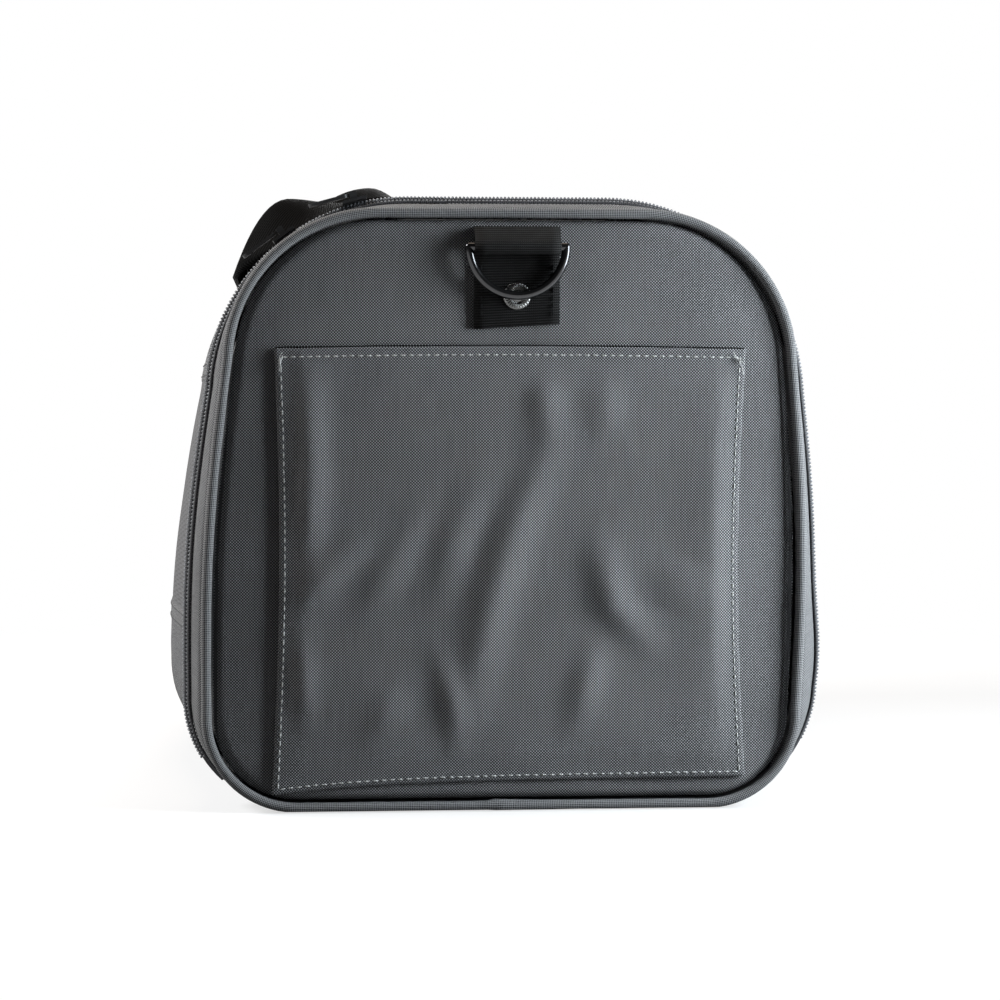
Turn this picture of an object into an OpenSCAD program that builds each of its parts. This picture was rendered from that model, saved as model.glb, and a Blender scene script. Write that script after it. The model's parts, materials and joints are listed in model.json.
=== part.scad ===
// Soft pet carrier with a zip-round end door, slip pocket, carry handles and strap rings.
// Frame: +X to the right, +Y from the door towards the rear, +Z up, origin under the middle.

/* [Body] */
// Length from the front piping to the rear piping, over both
bag_length = 446; // [380:1:520]
// Width of the body where it meets the zip, measured along the floor
body_w_floor = 277.5; // [250:0.5:320]
// Width of the body where it meets the zip, measured along the top
body_w_top = 250.5; // [225:0.5:277]
// Height of the body
body_h = 264; // [230:1:300]
// Radius of the lower corners of the body
corner_bottom = 48; // [42:1:60]
// Radius of the upper corners of the body
corner_top = 86; // [72:1:90]
// How far the sides bow out between their corners
side_bow = 3.4; // [0:0.1:6]
// How far the top of the soft bag leans to the right
bag_lean = 6.3; // [0:0.1:9]
// How far the sides swell out at mid length
side_bulge = 6; // [0:0.5:9]
// Thickness of the padded wall panels
wall = 3; // [2:0.1:5]

/* [Ends] */
// Distance along the length from the piping to the zip line
end_depth = 22; // [18:0.5:30]
// How far the end outline sits inside the body outline at the sides of its floor
end_inset = 10.2; // [6:0.1:14]
// How far the end outline sits inside the body outline at the sides of its top
end_inset_top = 6.4; // [4:0.1:10]
// How far the end outline sits inside the body outline at the top
end_drop = 6.7; // [4:0.1:9]
// Radius of the lower corners of an end
end_corner_bottom = 38; // [34:1:50]
// Radius of the upper corners of an end
end_corner_top = 64; // [54:1:76]
// Height of the middle of the bottom piping above the floor
end_lift = 3; // [2.8:0.1:5]
// Diameter of the piping
piping_d = 5; // [4:0.1:5.4]
// Thickness of the padded end panels
end_pad = 5; // [4:0.1:8]
// How far the face of an end panel stands in front of the middle of its piping
end_proud = 1; // [0:0.1:1.5]
// Thickness of the lining sheet behind the door
lining = 1; // [0.6:0.1:2]
// Thickness of the flared gusset band
gusset = 1.6; // [1.2:0.1:2.2]

/* [Zip] */
// Thickness of the zip tape
tape = 1.2; // [0.8:0.1:1.6]
// Width of one half of the zip tape
tape_w = 6; // [4:0.1:8]
// Diameter of one coil of the zip
coil_d = 2.2; // [1.6:0.1:2.8]
// Length of a slider
slider_len = 11; // [8:0.5:12]
// Length of a slider's pull tab
pull_len = 20; // [14:0.5:21]
// Angle up the upper left corner at which the upper slider is parked
slider_upper_a = 75; // [72:1:78]
// Angle up the upper left corner at which the lower slider is parked
slider_lower_a = 53; // [48:1:55]

/* [Pocket] */
// Width of the slip pocket
pocket_w = 203; // [160:1:206]
// Distance of the slip pocket's open hem below the ring tab
pocket_clear = 9.5; // [6:0.5:40]
// Height of the pocket's lower left corner above the floor
pocket_low = 10.5; // [10:0.1:14]
// How much higher the pocket's lower right corner is
pocket_skew = 7; // [0:0.5:12]
// Distance of the pocket's middle from the middle of the door
pocket_x = 2; // [-4:0.5:4]
// Depth of the space inside the pocket
pocket_gap = 2.4; // [1.5:0.1:3.4]
// Thickness of the pocket's cloth
pocket_cloth = 1.2; // [0.8:0.1:1.6]

/* [Strap rings] */
// Width of the webbing tab that holds a ring
tab_w = 37; // [25:0.5:40]
// Height of the flat webbing tab
tab_h = 43; // [38:0.5:50]
// Thickness of the webbing
webbing = 1.6; // [1:0.1:2]
// Distance of a ring's bar below the top of the body
ring_drop = 20.5; // [19:0.5:30]
// Diameter of a ring's wire
wire_d = 3.8; // [3:0.1:5]
// Diameter of a rivet head
rivet_d = 12; // [9:0.5:14]
// Distance of the front ring from the middle of the door
front_ring_x = 4.5; // [-5:0.5:6]

/* [Handles] */
// Width of the handle webbing
handle_w = 38; // [25:1:40]
// Thickness of the handle webbing
handle_t = 2.6; // [2:0.1:3.5]
// Distance of a handle's sewn end from the middle of the top
handle_x = 20; // [18:0.5:22]
// Half the spacing of the wide left handle's legs
left_leg_y = 105; // [103:1:120]
// Half the spacing of the right handle's legs
right_leg_y = 60; // [45:1:61]
// Straight reach of a handle from its sewn end
handle_reach = 98; // [92:1:100]
// How far the left handle's grip humps up above its legs
left_rise = 8.5; // [6:0.5:12]
// How far the left grip's edge droops over the shoulder
left_droop = 34; // [26:0.5:36]
// How far the right handle's grip humps up above its legs
right_rise = 14; // [10:0.5:18]
// How far the right grip's edge droops
right_droop = 10; // [6:0.5:14]
// Length of the sewn webbing patches
patch_len = 26; // [20:1:28]

/* [Inside] */
// Side windows: length along the bag
window_len = 280; // [160:1:300]
// Side windows: height of the lower edge above the floor
window_low = 78; // [74:1:95]
// Side windows: height of the upper edge above the floor
window_high = 188; // [150:1:190]
// Rear window: width
rear_window_w = 150; // [90:1:170]
// Rear window: clearance between its binding and the ring tab above it
rear_window_clear = 12.5; // [8:0.5:40]
// Radius of the window corners
window_r = 24; // [12:1:30]
// Width of the binding round a window
binding_w = 9; // [5:0.5:12]
// Thickness of the mesh
mesh_t = 1; // [0.6:0.1:1.5]
// Side windows: openings of the mesh along the bag
mesh_openings = 12; // [6:1:12]
// Width of the bars between the openings of the mesh
mesh_bar = 5; // [3:0.5:8]
// Thickness of the stiff base board
board_t = 3; // [2:0.1:5]
// Thickness of the soft floor mat
mat_t = 14; // [8:0.5:20]
// Diameter of the spring wire in the end hoops
hoop_d = 3; // [2:0.1:4]

/* [Hidden] */
$fn = 48;

// Clearance between pieces that move past each other
gap = 0.4;
// Points on each corner arc, less one
arc_n = 10;
// Where the lower corner arcs are cut between the door's arch and the sill
cut_i = arc_n / 2;
arc_pts = arc_n + 1;
// Points on each bowed side, between its corner arcs
bow_n = 5;
all_pts = 4 * arc_pts + 2 * bow_n;
piping_r = piping_d / 2;
coil_r = coil_d / 2;
wire_r = wire_d / 2;
hoop_r = hoop_d / 2;
charcoal = [0.27, 0.28, 0.30];
dark_fabric = [0.13, 0.13, 0.14];
black_webbing = [0.05, 0.05, 0.055];
nickel = [0.16, 0.16, 0.17];
mesh_grey = [0.10, 0.10, 0.11];
mat_grey = [0.62, 0.60, 0.57];

// An outline is [width at its floor, width at its top, height, lower radius, upper radius, lift]
body_o = [body_w_floor, body_w_top, body_h, corner_bottom, corner_top, 0];
end_h = body_h - end_drop - end_lift;
end_o = [
    body_w_floor - 2 * end_inset, body_w_top - 2 * end_inset_top, end_h,
    end_corner_bottom, end_corner_top, end_lift
];
// The tab rises a little above the ring's bar, and the pocket's hem lies below the tab
tab_rise = 9;
ring_z = body_h - ring_drop;
tab_top = ring_z + tab_rise;
pocket_top = tab_top - tab_h - pocket_clear;
rear_window_high = tab_top - tab_h - rear_window_clear - binding_w;

// Stations along the length
pipe_y = bag_length / 2 - piping_r;
zip_y = pipe_y - end_depth;
face_y = pipe_y + end_proud;
rivet_proud = 2.2;
ring_y = face_y + webbing + rivet_proud + gap + wire_r;
door_front = zip_y + gap / 2;
flare_y = door_front + tape_w;

// Slope of an outline's sides
function slope(o) = (o[0] - o[1]) / 2 / o[2];
// Sideways shift of the leaning bag at a height; it is centred where it is widest, a third of the way up
function leaned(z) = bag_lean * (z / body_h - 1 / 3);
function centre(o, side, z, r) = [
    side * (o[0] / 2 - z * slope(o) - r * sqrt(1 + pow(slope(o), 2))) + leaned(z + o[5]), z + o[5]
];
function low_centre(o, side) = centre(o, side, o[3], o[3]);
function high_centre(o, side) = centre(o, side, o[2] - o[4], o[4]);
function arc(c, r, from, to) = [
    for (i = [0:arc_n]) c + r * [cos(from + (to - from) * i / arc_n), sin(from + (to - from) * i / arc_n)]
];
// Points between two corner arcs on a side that bows out
function bowed(a, b, side) = [
    for (i = [1:bow_n]) let (t = i / (bow_n + 1)) a + (b - a) * t + [side * side_bow * sin(180 * t), 0]
];
// Points of an outline grown by off, from the lower right corner round to the lower left
function outline(o, off) = let (
    tilt = atan(slope(o)),
    low_right = arc(low_centre(o, 1), o[3] + off, -90, tilt),
    high_right = arc(high_centre(o, 1), o[4] + off, tilt, 90),
    high_left = arc(high_centre(o, -1), o[4] + off, 90, 180 - tilt),
    low_left = arc(low_centre(o, -1), o[3] + off, 180 - tilt, 270)
) concat(
    low_right, bowed(low_right[arc_n], high_right[0], 1), high_right,
    high_left, bowed(high_left[arc_n], low_left[0], -1), low_left
);
function swell(y) = side_bulge * pow(cos(90 * min(1, abs(y) / swell_y)), 2);

// Outline as a flat shape, on the same points as the cloth that meets it
module outline_2d(o, off = 0) { polygon(outline(o, off)); }

// Stands a flat X-Z shape up and thickens it from y0 to y1
module stand(y0, y1) {
    translate([0, y1, 0]) rotate([90, 0, 0]) linear_extrude(y1 - y0) children();
}

module outline_ring(o, inner, outer, y0, y1) {
    stand(y0, y1) difference() {
        outline_2d(o, outer);
        outline_2d(o, inner);
    }
}

// Sweeps a section round the outlines, from point i0 over count steps, closed when it goes all round.
// A section is a loop of [y, outline, growth], an even number of them.
module outline_sweep(section, i0 = 0, count = all_pts) {
    m = len(section);
    closed = count == all_pts;
    n = closed ? count : count + 1;
    points = [
        for (s = section) let (edge = outline(s[1], s[2]))
            for (i = [0:n - 1]) let (p = edge[(i0 + i) % all_pts]) [p[0], s[0], p[1]]
    ];
    walls = [
        for (k = [0:m - 1]) for (i = [0:count - 1])
            let (here = k * n, next = (k + 1) % m * n, j = (i + 1) % n)
            each [[here + i, here + j, next + j], [here + i, next + j, next + i]]
    ];
    caps = [
        for (k = [0:m / 2 - 2]) let (q = [k, k + 1, m - 2 - k, m - 1 - k] * n, e = n - 1)
            each [
                [q[0], q[1], q[2]], [q[0], q[2], q[3]],
                [q[2] + e, q[1] + e, q[0] + e], [q[3] + e, q[2] + e, q[0] + e]
            ]
    ];
    polyhedron(points, closed ? walls : concat(walls, caps));
}

// Section of a band of cloth that runs through outer stations
function band(stations, thick) = concat(
    stations, [for (j = [len(stations) - 1:-1:0]) let (s = stations[j]) [s[0], s[1], s[2] - thick]]
);

// Section of a round cord or wire
function round_section(o, off, r, y, sides) = [
    for (k = [0:sides - 1]) [y + r * sin(360 * k / sides), o, off + r * cos(360 * k / sides)]
];

// The body keeps its zip outline over the tapes and swells sideways between them
function widened(s) = [body_w_floor + 2 * s, body_w_top + 2 * s, body_h, corner_bottom, corner_top, 0];
body_steps = 8;
swell_y = zip_y - 2 * tape_w;
swell_stations = [
    for (j = [0:body_steps]) let (y = swell_y * (2 * j / body_steps - 1)) [y, widened(swell(y)), 0]
];
body_stations = concat([[-zip_y, body_o, 0]], swell_stations, [[zip_y, body_o, 0]]);
// Index spans of the four wall panels, which meet at the middle of each corner
side_n = arc_pts + bow_n;
top_n = arc_pts;
bottom_n = 2 * cut_i + 1;
right_i = cut_i;
top_i = right_i + side_n;
left_i = top_i + top_n;
bottom_i = left_i + side_n;

module body_strip(i0, count, inset = 0, thick = wall) {
    outline_sweep(band([for (s = body_stations) [s[0], s[1], s[2] - inset]], thick), i0, count);
}

// Rectangle with true round corners
module round_rect(x0, x1, y0, y1, r) {
    translate([x0, y0 + r]) square([x1 - x0, y1 - y0 - 2 * r]);
    translate([x0 + r, y0]) square([x1 - x0 - 2 * r, y1 - y0]);
    for (x = [x0 + r, x1 - r]) for (y = [y0 + r, y1 - r]) translate([x, y]) circle(r = r);
}

// Prism of a flat Y-Z shape through one side of the bag, side is 1 on the right and -1 on the left
module through_side(side) {
    reach = body_w_floor / 2;
    translate([side > 0 ? reach / 2 : -reach * 3 / 2, 0, 0]) rotate([90, 0, 90]) linear_extrude(reach)
        children();
}

module side_window(side, grow = 0) {
    through_side(side)
        round_rect(-window_len / 2 - grow, window_len / 2 + grow, window_low - grow, window_high + grow,
            window_r + grow);
}

module rear_window_2d(grow = 0) {
    round_rect(-rear_window_w / 2 - grow, rear_window_w / 2 + grow, window_low - grow,
        rear_window_high + grow, window_r + grow);
}

// Net of a window of this length and upper edge: a grid of openings inside the window's rounded edge
mesh_pitch = window_len / mesh_openings;
module net_2d(len, high) {
    half = len / 2;
    columns = round(len / mesh_pitch);
    rows = round((high - window_low) / mesh_pitch);
    pitch = [len / columns, (high - window_low) / rows];
    rim = mesh_bar / 2;
    difference() {
        round_rect(-half, half, window_low, high, window_r);
        intersection() {
            round_rect(rim - half, half - rim, window_low + rim, high - rim, window_r - rim);
            for (i = [0:columns - 1]) for (j = [0:rows - 1])
                translate([i * pitch[0] - half + rim, window_low + j * pitch[1] + rim])
                    square([pitch[0] - mesh_bar, pitch[1] - mesh_bar]);
        }
    }
}

module bottom_panel() { color(charcoal) body_strip(bottom_i, bottom_n); }

module top_panel() { color(charcoal) body_strip(top_i, top_n); }

module side_panel(side) {
    color(charcoal) difference() {
        body_strip(side > 0 ? right_i : left_i, side_n);
        side_window(side);
    }
}

module side_mesh(side) {
    color(mesh_grey) intersection() {
        body_strip(side > 0 ? right_i : left_i, side_n, mesh_t, mesh_t);
        through_side(side) net_2d(window_len, window_high);
    }
}

module side_binding(side) {
    color(dark_fabric) difference() {
        intersection() {
            body_strip(side > 0 ? right_i : left_i, side_n, -tape, tape);
            side_window(side, binding_w);
        }
        side_window(side);
    }
}

// Section of the flared band from the zip outline at y_body to the rear end's piping
function flare(y_body, off_body) =
    band([[y_body, body_o, off_body], [pipe_y - piping_r, end_o, gusset]], gusset);

// What is drawn for the rear end goes to the front end as its mirror image
module to_front() { mirror([0, 1, 0]) children(); }

// Height at which the door's arch ends above the sill
arch_z = max(outline(body_o, -gusset)[cut_i][1], outline(end_o, 0)[cut_i][1]) + gap;
arch_n = all_pts - 1 - 2 * cut_i;
coil_off = tape + coil_r;

module above_sill() {
    difference() {
        children();
        translate([-body_w_floor, -bag_length, -body_h])
            cube([2 * body_w_floor, 2 * bag_length, body_h + arch_z]);
    }
}

// The sill's front edge keeps clear of the door's bottom piping, which turns in front of it
module front_sill() {
    sill_off = end_lift - gap;
    stations = [[zip_y, body_o, 0], [flare_y, body_o, 0], [pipe_y - piping_r - gap, end_o, sill_off]];
    color(charcoal) to_front() outline_sweep(band(stations, gusset), bottom_i, bottom_n);
}

module tape_arch(y0, y1) {
    color(dark_fabric) above_sill() to_front() outline_ring(body_o, 0, tape, y0, y1);
}

module coil_arch(y) {
    section = round_section(body_o, coil_off, coil_r, -y, 6);
    color(black_webbing) outline_sweep(section, right_i + 1, arch_n - 2);
}

module body_zip_tape() { tape_arch(zip_y - gap / 2 - tape_w, zip_y - gap / 2); }

module body_zip_coil() { coil_arch(zip_y - gap / 2 - coil_r); }

module door_zip_tape() { tape_arch(door_front, flare_y); }

module door_zip_coil() { coil_arch(door_front + coil_r); }

// Spring wire hoop in a sleeve just inside the wall
hoop_ease = 0.5;
hoop_y = zip_y - 2 * tape_w;
hoop_off = -wall - hoop_ease - hoop_r;
module hoop(y) { color(nickel) outline_sweep(round_section(body_o, hoop_off, hoop_r, y, 8)); }

module rear_gusset() { color(charcoal) outline_sweep(flare(zip_y, 0)); }

module end_piping() { outline_sweep(round_section(end_o, 0, piping_r, pipe_y, 10)); }

// Padded end panel that fills its piping and is drilled for the rivet
module end_panel(rivet_x) {
    difference() {
        stand(face_y - end_pad, face_y) outline_2d(end_o, -piping_r);
        rivet_hole(rivet_x);
    }
}

ring_r = tab_w / 2 + gap + wire_r;
rivet_z = ring_z - ring_r;
shank_r = rivet_d / 6;

module rivet_hole(x) {
    translate([x, bag_length, rivet_z]) rotate([90, 0, 0]) cylinder(r = shank_r, h = bag_length);
}

module rear_panel() {
    color(charcoal) difference() {
        end_panel(0);
        stand(0, bag_length) rear_window_2d();
    }
}

module rear_mesh_window() {
    mid_y = face_y - end_pad / 2;
    color(mesh_grey) stand(mid_y - mesh_t / 2, mid_y + mesh_t / 2) net_2d(rear_window_w, rear_window_high);
}

module rear_window_binding() {
    color(dark_fabric) stand(face_y, face_y + tape) difference() {
        rear_window_2d(binding_w);
        rear_window_2d();
    }
}

module rear_piping() { color(charcoal) end_piping(); }

// Side view of the tab: a flat ply, and a flap that comes down from its top round the ring's bar
loop_in = wire_r + gap;
loop_out = loop_in + webbing;
flap_angle = 50;
module tab_profile() {
    turn = [for (i = [0:18]) let (a = flap_angle - 15 * i) [ring_y, ring_z] + loop_out * [cos(a), sin(a)]];
    polygon(concat(
        [[face_y, tab_top - tab_h], [face_y, tab_top], [face_y + webbing, tab_top]],
        turn,
        [[face_y + webbing, tab_top - 2 * webbing], [face_y + webbing, tab_top - tab_h]]
    ));
}

module ring_tab(x) {
    color(black_webbing) difference() {
        translate([x - tab_w / 2, 0, 0]) rotate([90, 0, 90]) linear_extrude(tab_w) tab_profile();
        translate([x - tab_w, ring_y, ring_z]) rotate([0, 90, 0]) cylinder(r = loop_in, h = 2 * tab_w);
        rivet_hole(x);
    }
}

// Rivet with a grooved head on the tab and a flat washer behind a stack of cloth
washer_t = 1;
module rivet(x, stack) {
    head_r = rivet_d / 2;
    rim = rivet_proud * 0.6;
    color(nickel) translate([x, face_y, rivet_z]) rotate([-90, 0, 0]) rotate_extrude() polygon([
        [0, -stack - washer_t], [head_r * 0.8, -stack - washer_t], [head_r * 0.8, -stack],
        [shank_r, -stack], [shank_r, webbing], [head_r, webbing],
        [head_r, webbing + rim / 2], [head_r * 0.9, webbing + rim], [head_r * 0.62, webbing + rim],
        [head_r * 0.62, webbing + rim / 2], [head_r * 0.5, webbing + rim / 2],
        [head_r * 0.5, webbing + rivet_proud * 0.9], [head_r * 0.3, webbing + rivet_proud],
        [0, webbing + rivet_proud]
    ]);
}

module d_ring(x) {
    color(nickel) translate([x, ring_y, ring_z]) {
        rotate([90, 0, 0]) rotate(180) rotate_extrude(angle = 180) translate([ring_r, 0]) circle(r = wire_r);
        translate([-ring_r, 0, 0]) rotate([0, 90, 0]) cylinder(r = wire_r, h = 2 * ring_r);
        for (s = [-1, 1]) translate([s * ring_r, 0, 0]) sphere(r = wire_r);
    }
}

module rear_ring_tab() { ring_tab(0); }

module rear_rivet() { rivet(0, end_pad); }

module rear_d_ring() { d_ring(0); }

module front_ring_tab() { to_front() ring_tab(front_ring_x); }

module front_rivet() { to_front() rivet(front_ring_x, end_pad + lining); }

module front_d_ring() { to_front() d_ring(front_ring_x); }

module door_panel() { color(charcoal) to_front() end_panel(front_ring_x); }

module door_lining() {
    color(dark_fabric) to_front() difference() {
        stand(face_y - end_pad - lining, face_y - end_pad) outline_2d(end_o, -piping_r);
        rivet_hole(front_ring_x);
    }
}

module door_piping() { color(charcoal) to_front() end_piping(); }

module door_gusset() {
    color(charcoal) above_sill() to_front() outline_sweep(flare(flare_y, tape), right_i, arch_n);
}

// Outline of the slip pocket, drawn in at its sides and bottom by in
module pocket_2d(in, top) {
    left = pocket_x - pocket_w / 2 + in;
    right = pocket_x + pocket_w / 2 - in;
    polygon([
        [left, pocket_low + in], [right, pocket_low + pocket_skew + in], [right, top], [left, top]
    ]);
}

// The pocket is sewn down at its sides and bottom and open under its folded hem
seam_w = 3;
hem_h = 9;
module slip_pocket() {
    front = face_y + pocket_gap + pocket_cloth;
    color(charcoal) to_front() {
        difference() {
            stand(face_y, front) pocket_2d(0, pocket_top);
            stand(face_y - 1, face_y + pocket_gap) pocket_2d(seam_w, pocket_top + 1);
        }
        stand(front, front + pocket_cloth) intersection() {
            pocket_2d(0, pocket_top);
            translate([-body_w_floor, pocket_top - hem_h]) square([2 * body_w_floor, hem_h]);
        }
    }
}

// Slice of the bag's inside between two heights
module floor_slice(z0, z1, half_len, inset) {
    stand(-half_len, half_len) intersection() {
        outline_2d(body_o, -wall - inset);
        translate([-body_w_floor, z0]) square([2 * body_w_floor, z1 - z0]);
    }
}

floor_ease = 0.6;
floor_half = hoop_y - hoop_d;
module base_board() { color(dark_fabric) floor_slice(wall, wall + board_t, floor_half, floor_ease); }

module floor_mat() {
    color(mat_grey) floor_slice(wall + board_t, wall + board_t + mat_t, floor_half, floor_ease);
}

// Pair of sewn webbing patches on the top, side is 1 on the right and -1 on the left
patch_back = 6;
module handle_patches(side, leg_y) {
    x0 = side > 0 ? handle_x - patch_back : -handle_x - patch_len;
    color(black_webbing) for (s = [-1, 1])
        translate([x0, s * leg_y - handle_w / 2, body_h]) cube([patch_len + patch_back, handle_w, webbing]);
}

// Webbing loop: a band that humps up at the grip, cut in plan to two legs and the grip between them
handle_z = body_h + webbing + gap + handle_t;
grip_top = handle_reach - handle_w * 0.65;
hump_start = grip_top - handle_w * 0.6;
band_steps = 28;
function eased(t) = let (c = min(1, max(0, t))) c * c * (3 - 2 * c);
function band_z(x, rise, droop) =
    rise * eased((x - hump_start) / (grip_top - hump_start))
    - droop * pow(max(0, x - grip_top) / (handle_reach - grip_top), 2);
module handle_band(rise, droop) {
    line = [for (i = [0:band_steps]) let (x = handle_reach * i / band_steps) [x, band_z(x, rise, droop)]];
    polygon(concat(
        [for (p = line) p + [0, handle_t / 2]],
        [for (i = [band_steps:-1:0]) line[i] - [0, handle_t / 2]]
    ));
}

module handle(hinge_x, leg_y, rise, droop) {
    half = leg_y + handle_w / 2;
    color(black_webbing) translate([hinge_x, 0, handle_z]) mirror([1, 0, 0]) intersection() {
        stand(-half, half) handle_band(rise, droop);
        translate([0, 0, -body_h / 2]) linear_extrude(body_h) difference() {
            round_rect(-handle_reach, handle_reach, -half, half, handle_w * 0.7);
            round_rect(-handle_reach, handle_reach - handle_w, handle_w / 2 - leg_y, leg_y - handle_w / 2,
                handle_w * 0.2);
        }
    }
}

// The left handle has slumped over the left shoulder, and the right one lies inside its loop
module left_handle() { handle(-handle_x, left_leg_y, left_rise, left_droop); }

module right_handle() { handle(handle_x, right_leg_y, right_rise, right_droop); }

// Slider frame on the upper left corner: X out of the corner, Y along the bag, Z up along the zip
module on_zip(a) {
    c = high_centre(body_o, -1);
    translate([c[0], -zip_y, c[1]]) mirror([1, 0, 0]) rotate([0, -a, 0])
        translate([corner_top, 0, 0]) children();
}

plate_t = 1.2;
plate_w = 8;
plate_x = tape + coil_d + gap;
lug_w = 1.2;
eye_w = 2.6;
eye_r = 1.5;
pin_r = 0.6;
lug_h = eye_r + gap + 2 * pin_r;
pin_x = plate_x + plate_t + eye_r + gap;
module slider(a) {
    flange_y = gap / 2 + coil_d + gap;
    color(nickel) on_zip(a) {
        translate([plate_x, -plate_w / 2, -slider_len / 2]) cube([plate_t, plate_w, slider_len]);
        translate([tape + gap, flange_y, -slider_len / 2])
            cube([plate_x + plate_t - tape - gap, plate_w / 2 - flange_y, slider_len]);
        for (s = [-1, 1])
            translate([plate_x + plate_t, s * (eye_w + gap + lug_w) / 2 - lug_w / 2, -eye_r])
                cube([lug_h, lug_w, 2 * eye_r]);
        translate([pin_x, -eye_w, 0]) rotate([-90, 0, 0]) cylinder(r = pin_r, h = 2 * eye_w);
    }
}

pull_w = 7;
pull_t = 1.4;
module pull(a) {
    color(nickel) on_zip(a) translate([pin_x, 0, 0]) difference() {
        union() {
            translate([0, -eye_w / 2, 0]) rotate([-90, 0, 0]) cylinder(r = eye_r, h = eye_w);
            translate([-pull_t / 2, -eye_w / 2, -eye_r * 2]) cube([pull_t, eye_w, eye_r * 2]);
            translate([-pull_t / 2, 0, 0]) rotate([90, 0, 90]) linear_extrude(pull_t)
                round_rect(-pull_w / 2, pull_w / 2, -pull_len, -eye_r * 1.6, 2);
        }
        translate([0, -pull_w, 0]) rotate([-90, 0, 0]) cylinder(r = pin_r + gap / 2, h = 2 * pull_w);
        translate([-pull_t, 0, 0]) rotate([90, 0, 90]) linear_extrude(2 * pull_t)
            round_rect(-pull_w / 4, pull_w / 4, -pull_len + 2.5, -pull_len + 9, 1.4);
    }
}

bottom_panel();
side_panel(-1);  // left_side_panel
side_panel(1);  // right_side_panel
top_panel();
side_mesh(-1);  // left_mesh_window
side_mesh(1);  // right_mesh_window
side_binding(-1);  // left_window_binding
side_binding(1);  // right_window_binding
front_sill();
body_zip_tape();
body_zip_coil();
hoop(-hoop_y);  // front_hoop
hoop(hoop_y);  // rear_hoop
rear_gusset();
rear_panel();
rear_piping();
rear_mesh_window();
rear_window_binding();
rear_ring_tab();
rear_rivet();
base_board();
floor_mat();
handle_patches(-1, left_leg_y);  // left_handle_patches
handle_patches(1, right_leg_y);  // right_handle_patches
door_panel();
door_lining();
door_piping();
door_gusset();
door_zip_tape();
door_zip_coil();
slip_pocket();
front_ring_tab();
front_rivet();
front_d_ring();
rear_d_ring();
left_handle();
right_handle();
slider(slider_upper_a);  // upper_slider
pull(slider_upper_a);  // upper_pull
slider(slider_lower_a);  // lower_slider
pull(slider_lower_a);  // lower_pull
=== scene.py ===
# %% [markdown]
# # A soft pet carrier, dressed over its construction model
# The construction model gives every piece its place and its motion. This lesson gives the pieces
# their looks: woven cloth, corded seams, a coil zip, webbing and black-nickel hardware. It loads
# the model as a fixed frame, so a new piece goes where the solid is and needs no fitting.

# %% Load the frame
import json
import math
from collections import namedtuple

import bmesh
import bpy
import numpy as np
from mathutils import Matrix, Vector, noise

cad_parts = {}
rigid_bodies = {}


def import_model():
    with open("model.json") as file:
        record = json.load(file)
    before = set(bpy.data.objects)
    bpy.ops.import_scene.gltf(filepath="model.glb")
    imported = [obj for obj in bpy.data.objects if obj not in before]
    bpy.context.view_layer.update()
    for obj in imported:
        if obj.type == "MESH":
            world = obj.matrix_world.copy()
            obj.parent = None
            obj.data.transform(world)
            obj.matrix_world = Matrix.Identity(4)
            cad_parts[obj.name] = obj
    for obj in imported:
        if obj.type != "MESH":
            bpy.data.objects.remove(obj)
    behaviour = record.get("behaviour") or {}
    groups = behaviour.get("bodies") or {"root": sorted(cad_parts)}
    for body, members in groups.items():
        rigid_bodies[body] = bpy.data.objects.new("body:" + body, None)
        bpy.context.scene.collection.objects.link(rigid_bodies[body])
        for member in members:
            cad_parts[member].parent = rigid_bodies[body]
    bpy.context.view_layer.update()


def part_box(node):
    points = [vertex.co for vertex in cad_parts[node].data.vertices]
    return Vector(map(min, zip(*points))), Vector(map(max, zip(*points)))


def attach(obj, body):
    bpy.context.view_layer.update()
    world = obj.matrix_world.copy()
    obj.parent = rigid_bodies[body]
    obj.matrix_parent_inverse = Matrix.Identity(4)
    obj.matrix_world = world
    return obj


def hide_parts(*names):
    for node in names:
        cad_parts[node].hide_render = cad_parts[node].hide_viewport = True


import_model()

# %% [markdown]
# ## Camera
# The photograph looks almost straight at one end of the bag, from a little above and a little to
# the left, through a long lens. The scale at the door gives the distance for a chosen lens, so
# the camera is placed by its direction and its distance from the middle of the door.

# %% Camera at the photograph's angle
MM = 0.001


def mm(*lengths):
    """Lengths given in millimetres, in metres."""
    return [length * MM for length in lengths]


VIEW_TARGET = Vector(mm(-2.6, -220, 134.6))
VIEW_AZIMUTH, VIEW_ELEVATION = math.radians(-4.5), math.radians(2.0)
VIEW_DISTANCE, VIEW_LENS, NEAR_CLIP = 1.15, 95.6, 0.05

look = Vector((
    math.sin(VIEW_AZIMUTH) * math.cos(VIEW_ELEVATION),
    -math.cos(VIEW_AZIMUTH) * math.cos(VIEW_ELEVATION),
    math.sin(VIEW_ELEVATION),
))
camera = bpy.data.objects.new("camera", bpy.data.cameras.new("camera"))
camera.data.lens = VIEW_LENS
camera.data.clip_start = NEAR_CLIP
camera.location = VIEW_TARGET + look * VIEW_DISTANCE
camera.rotation_euler = look.to_track_quat("Z", "Y").to_euler()
bpy.context.scene.collection.objects.link(camera)
bpy.context.scene.camera = camera
bpy.context.scene.view_settings.view_transform = "Standard"
print("camera at", [round(x, 3) for x in camera.location])

# %% [markdown]
# ## Shader helpers
# Every finish below is a small network of shader nodes. These helpers keep a network readable:
# one adds a node and fills or links its inputs in a single line, and the others stand for the
# steps that most finishes share, such as arithmetic, noise, a colour between two others, and
# bump.

# %% Helpers for shader nodes
def fill(tree, socket, value):
    """Links a socket to another socket, or sets it to a constant."""
    if isinstance(value, bpy.types.NodeSocket):
        tree.links.new(value, socket)
    else:
        socket.default_value = value


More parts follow.
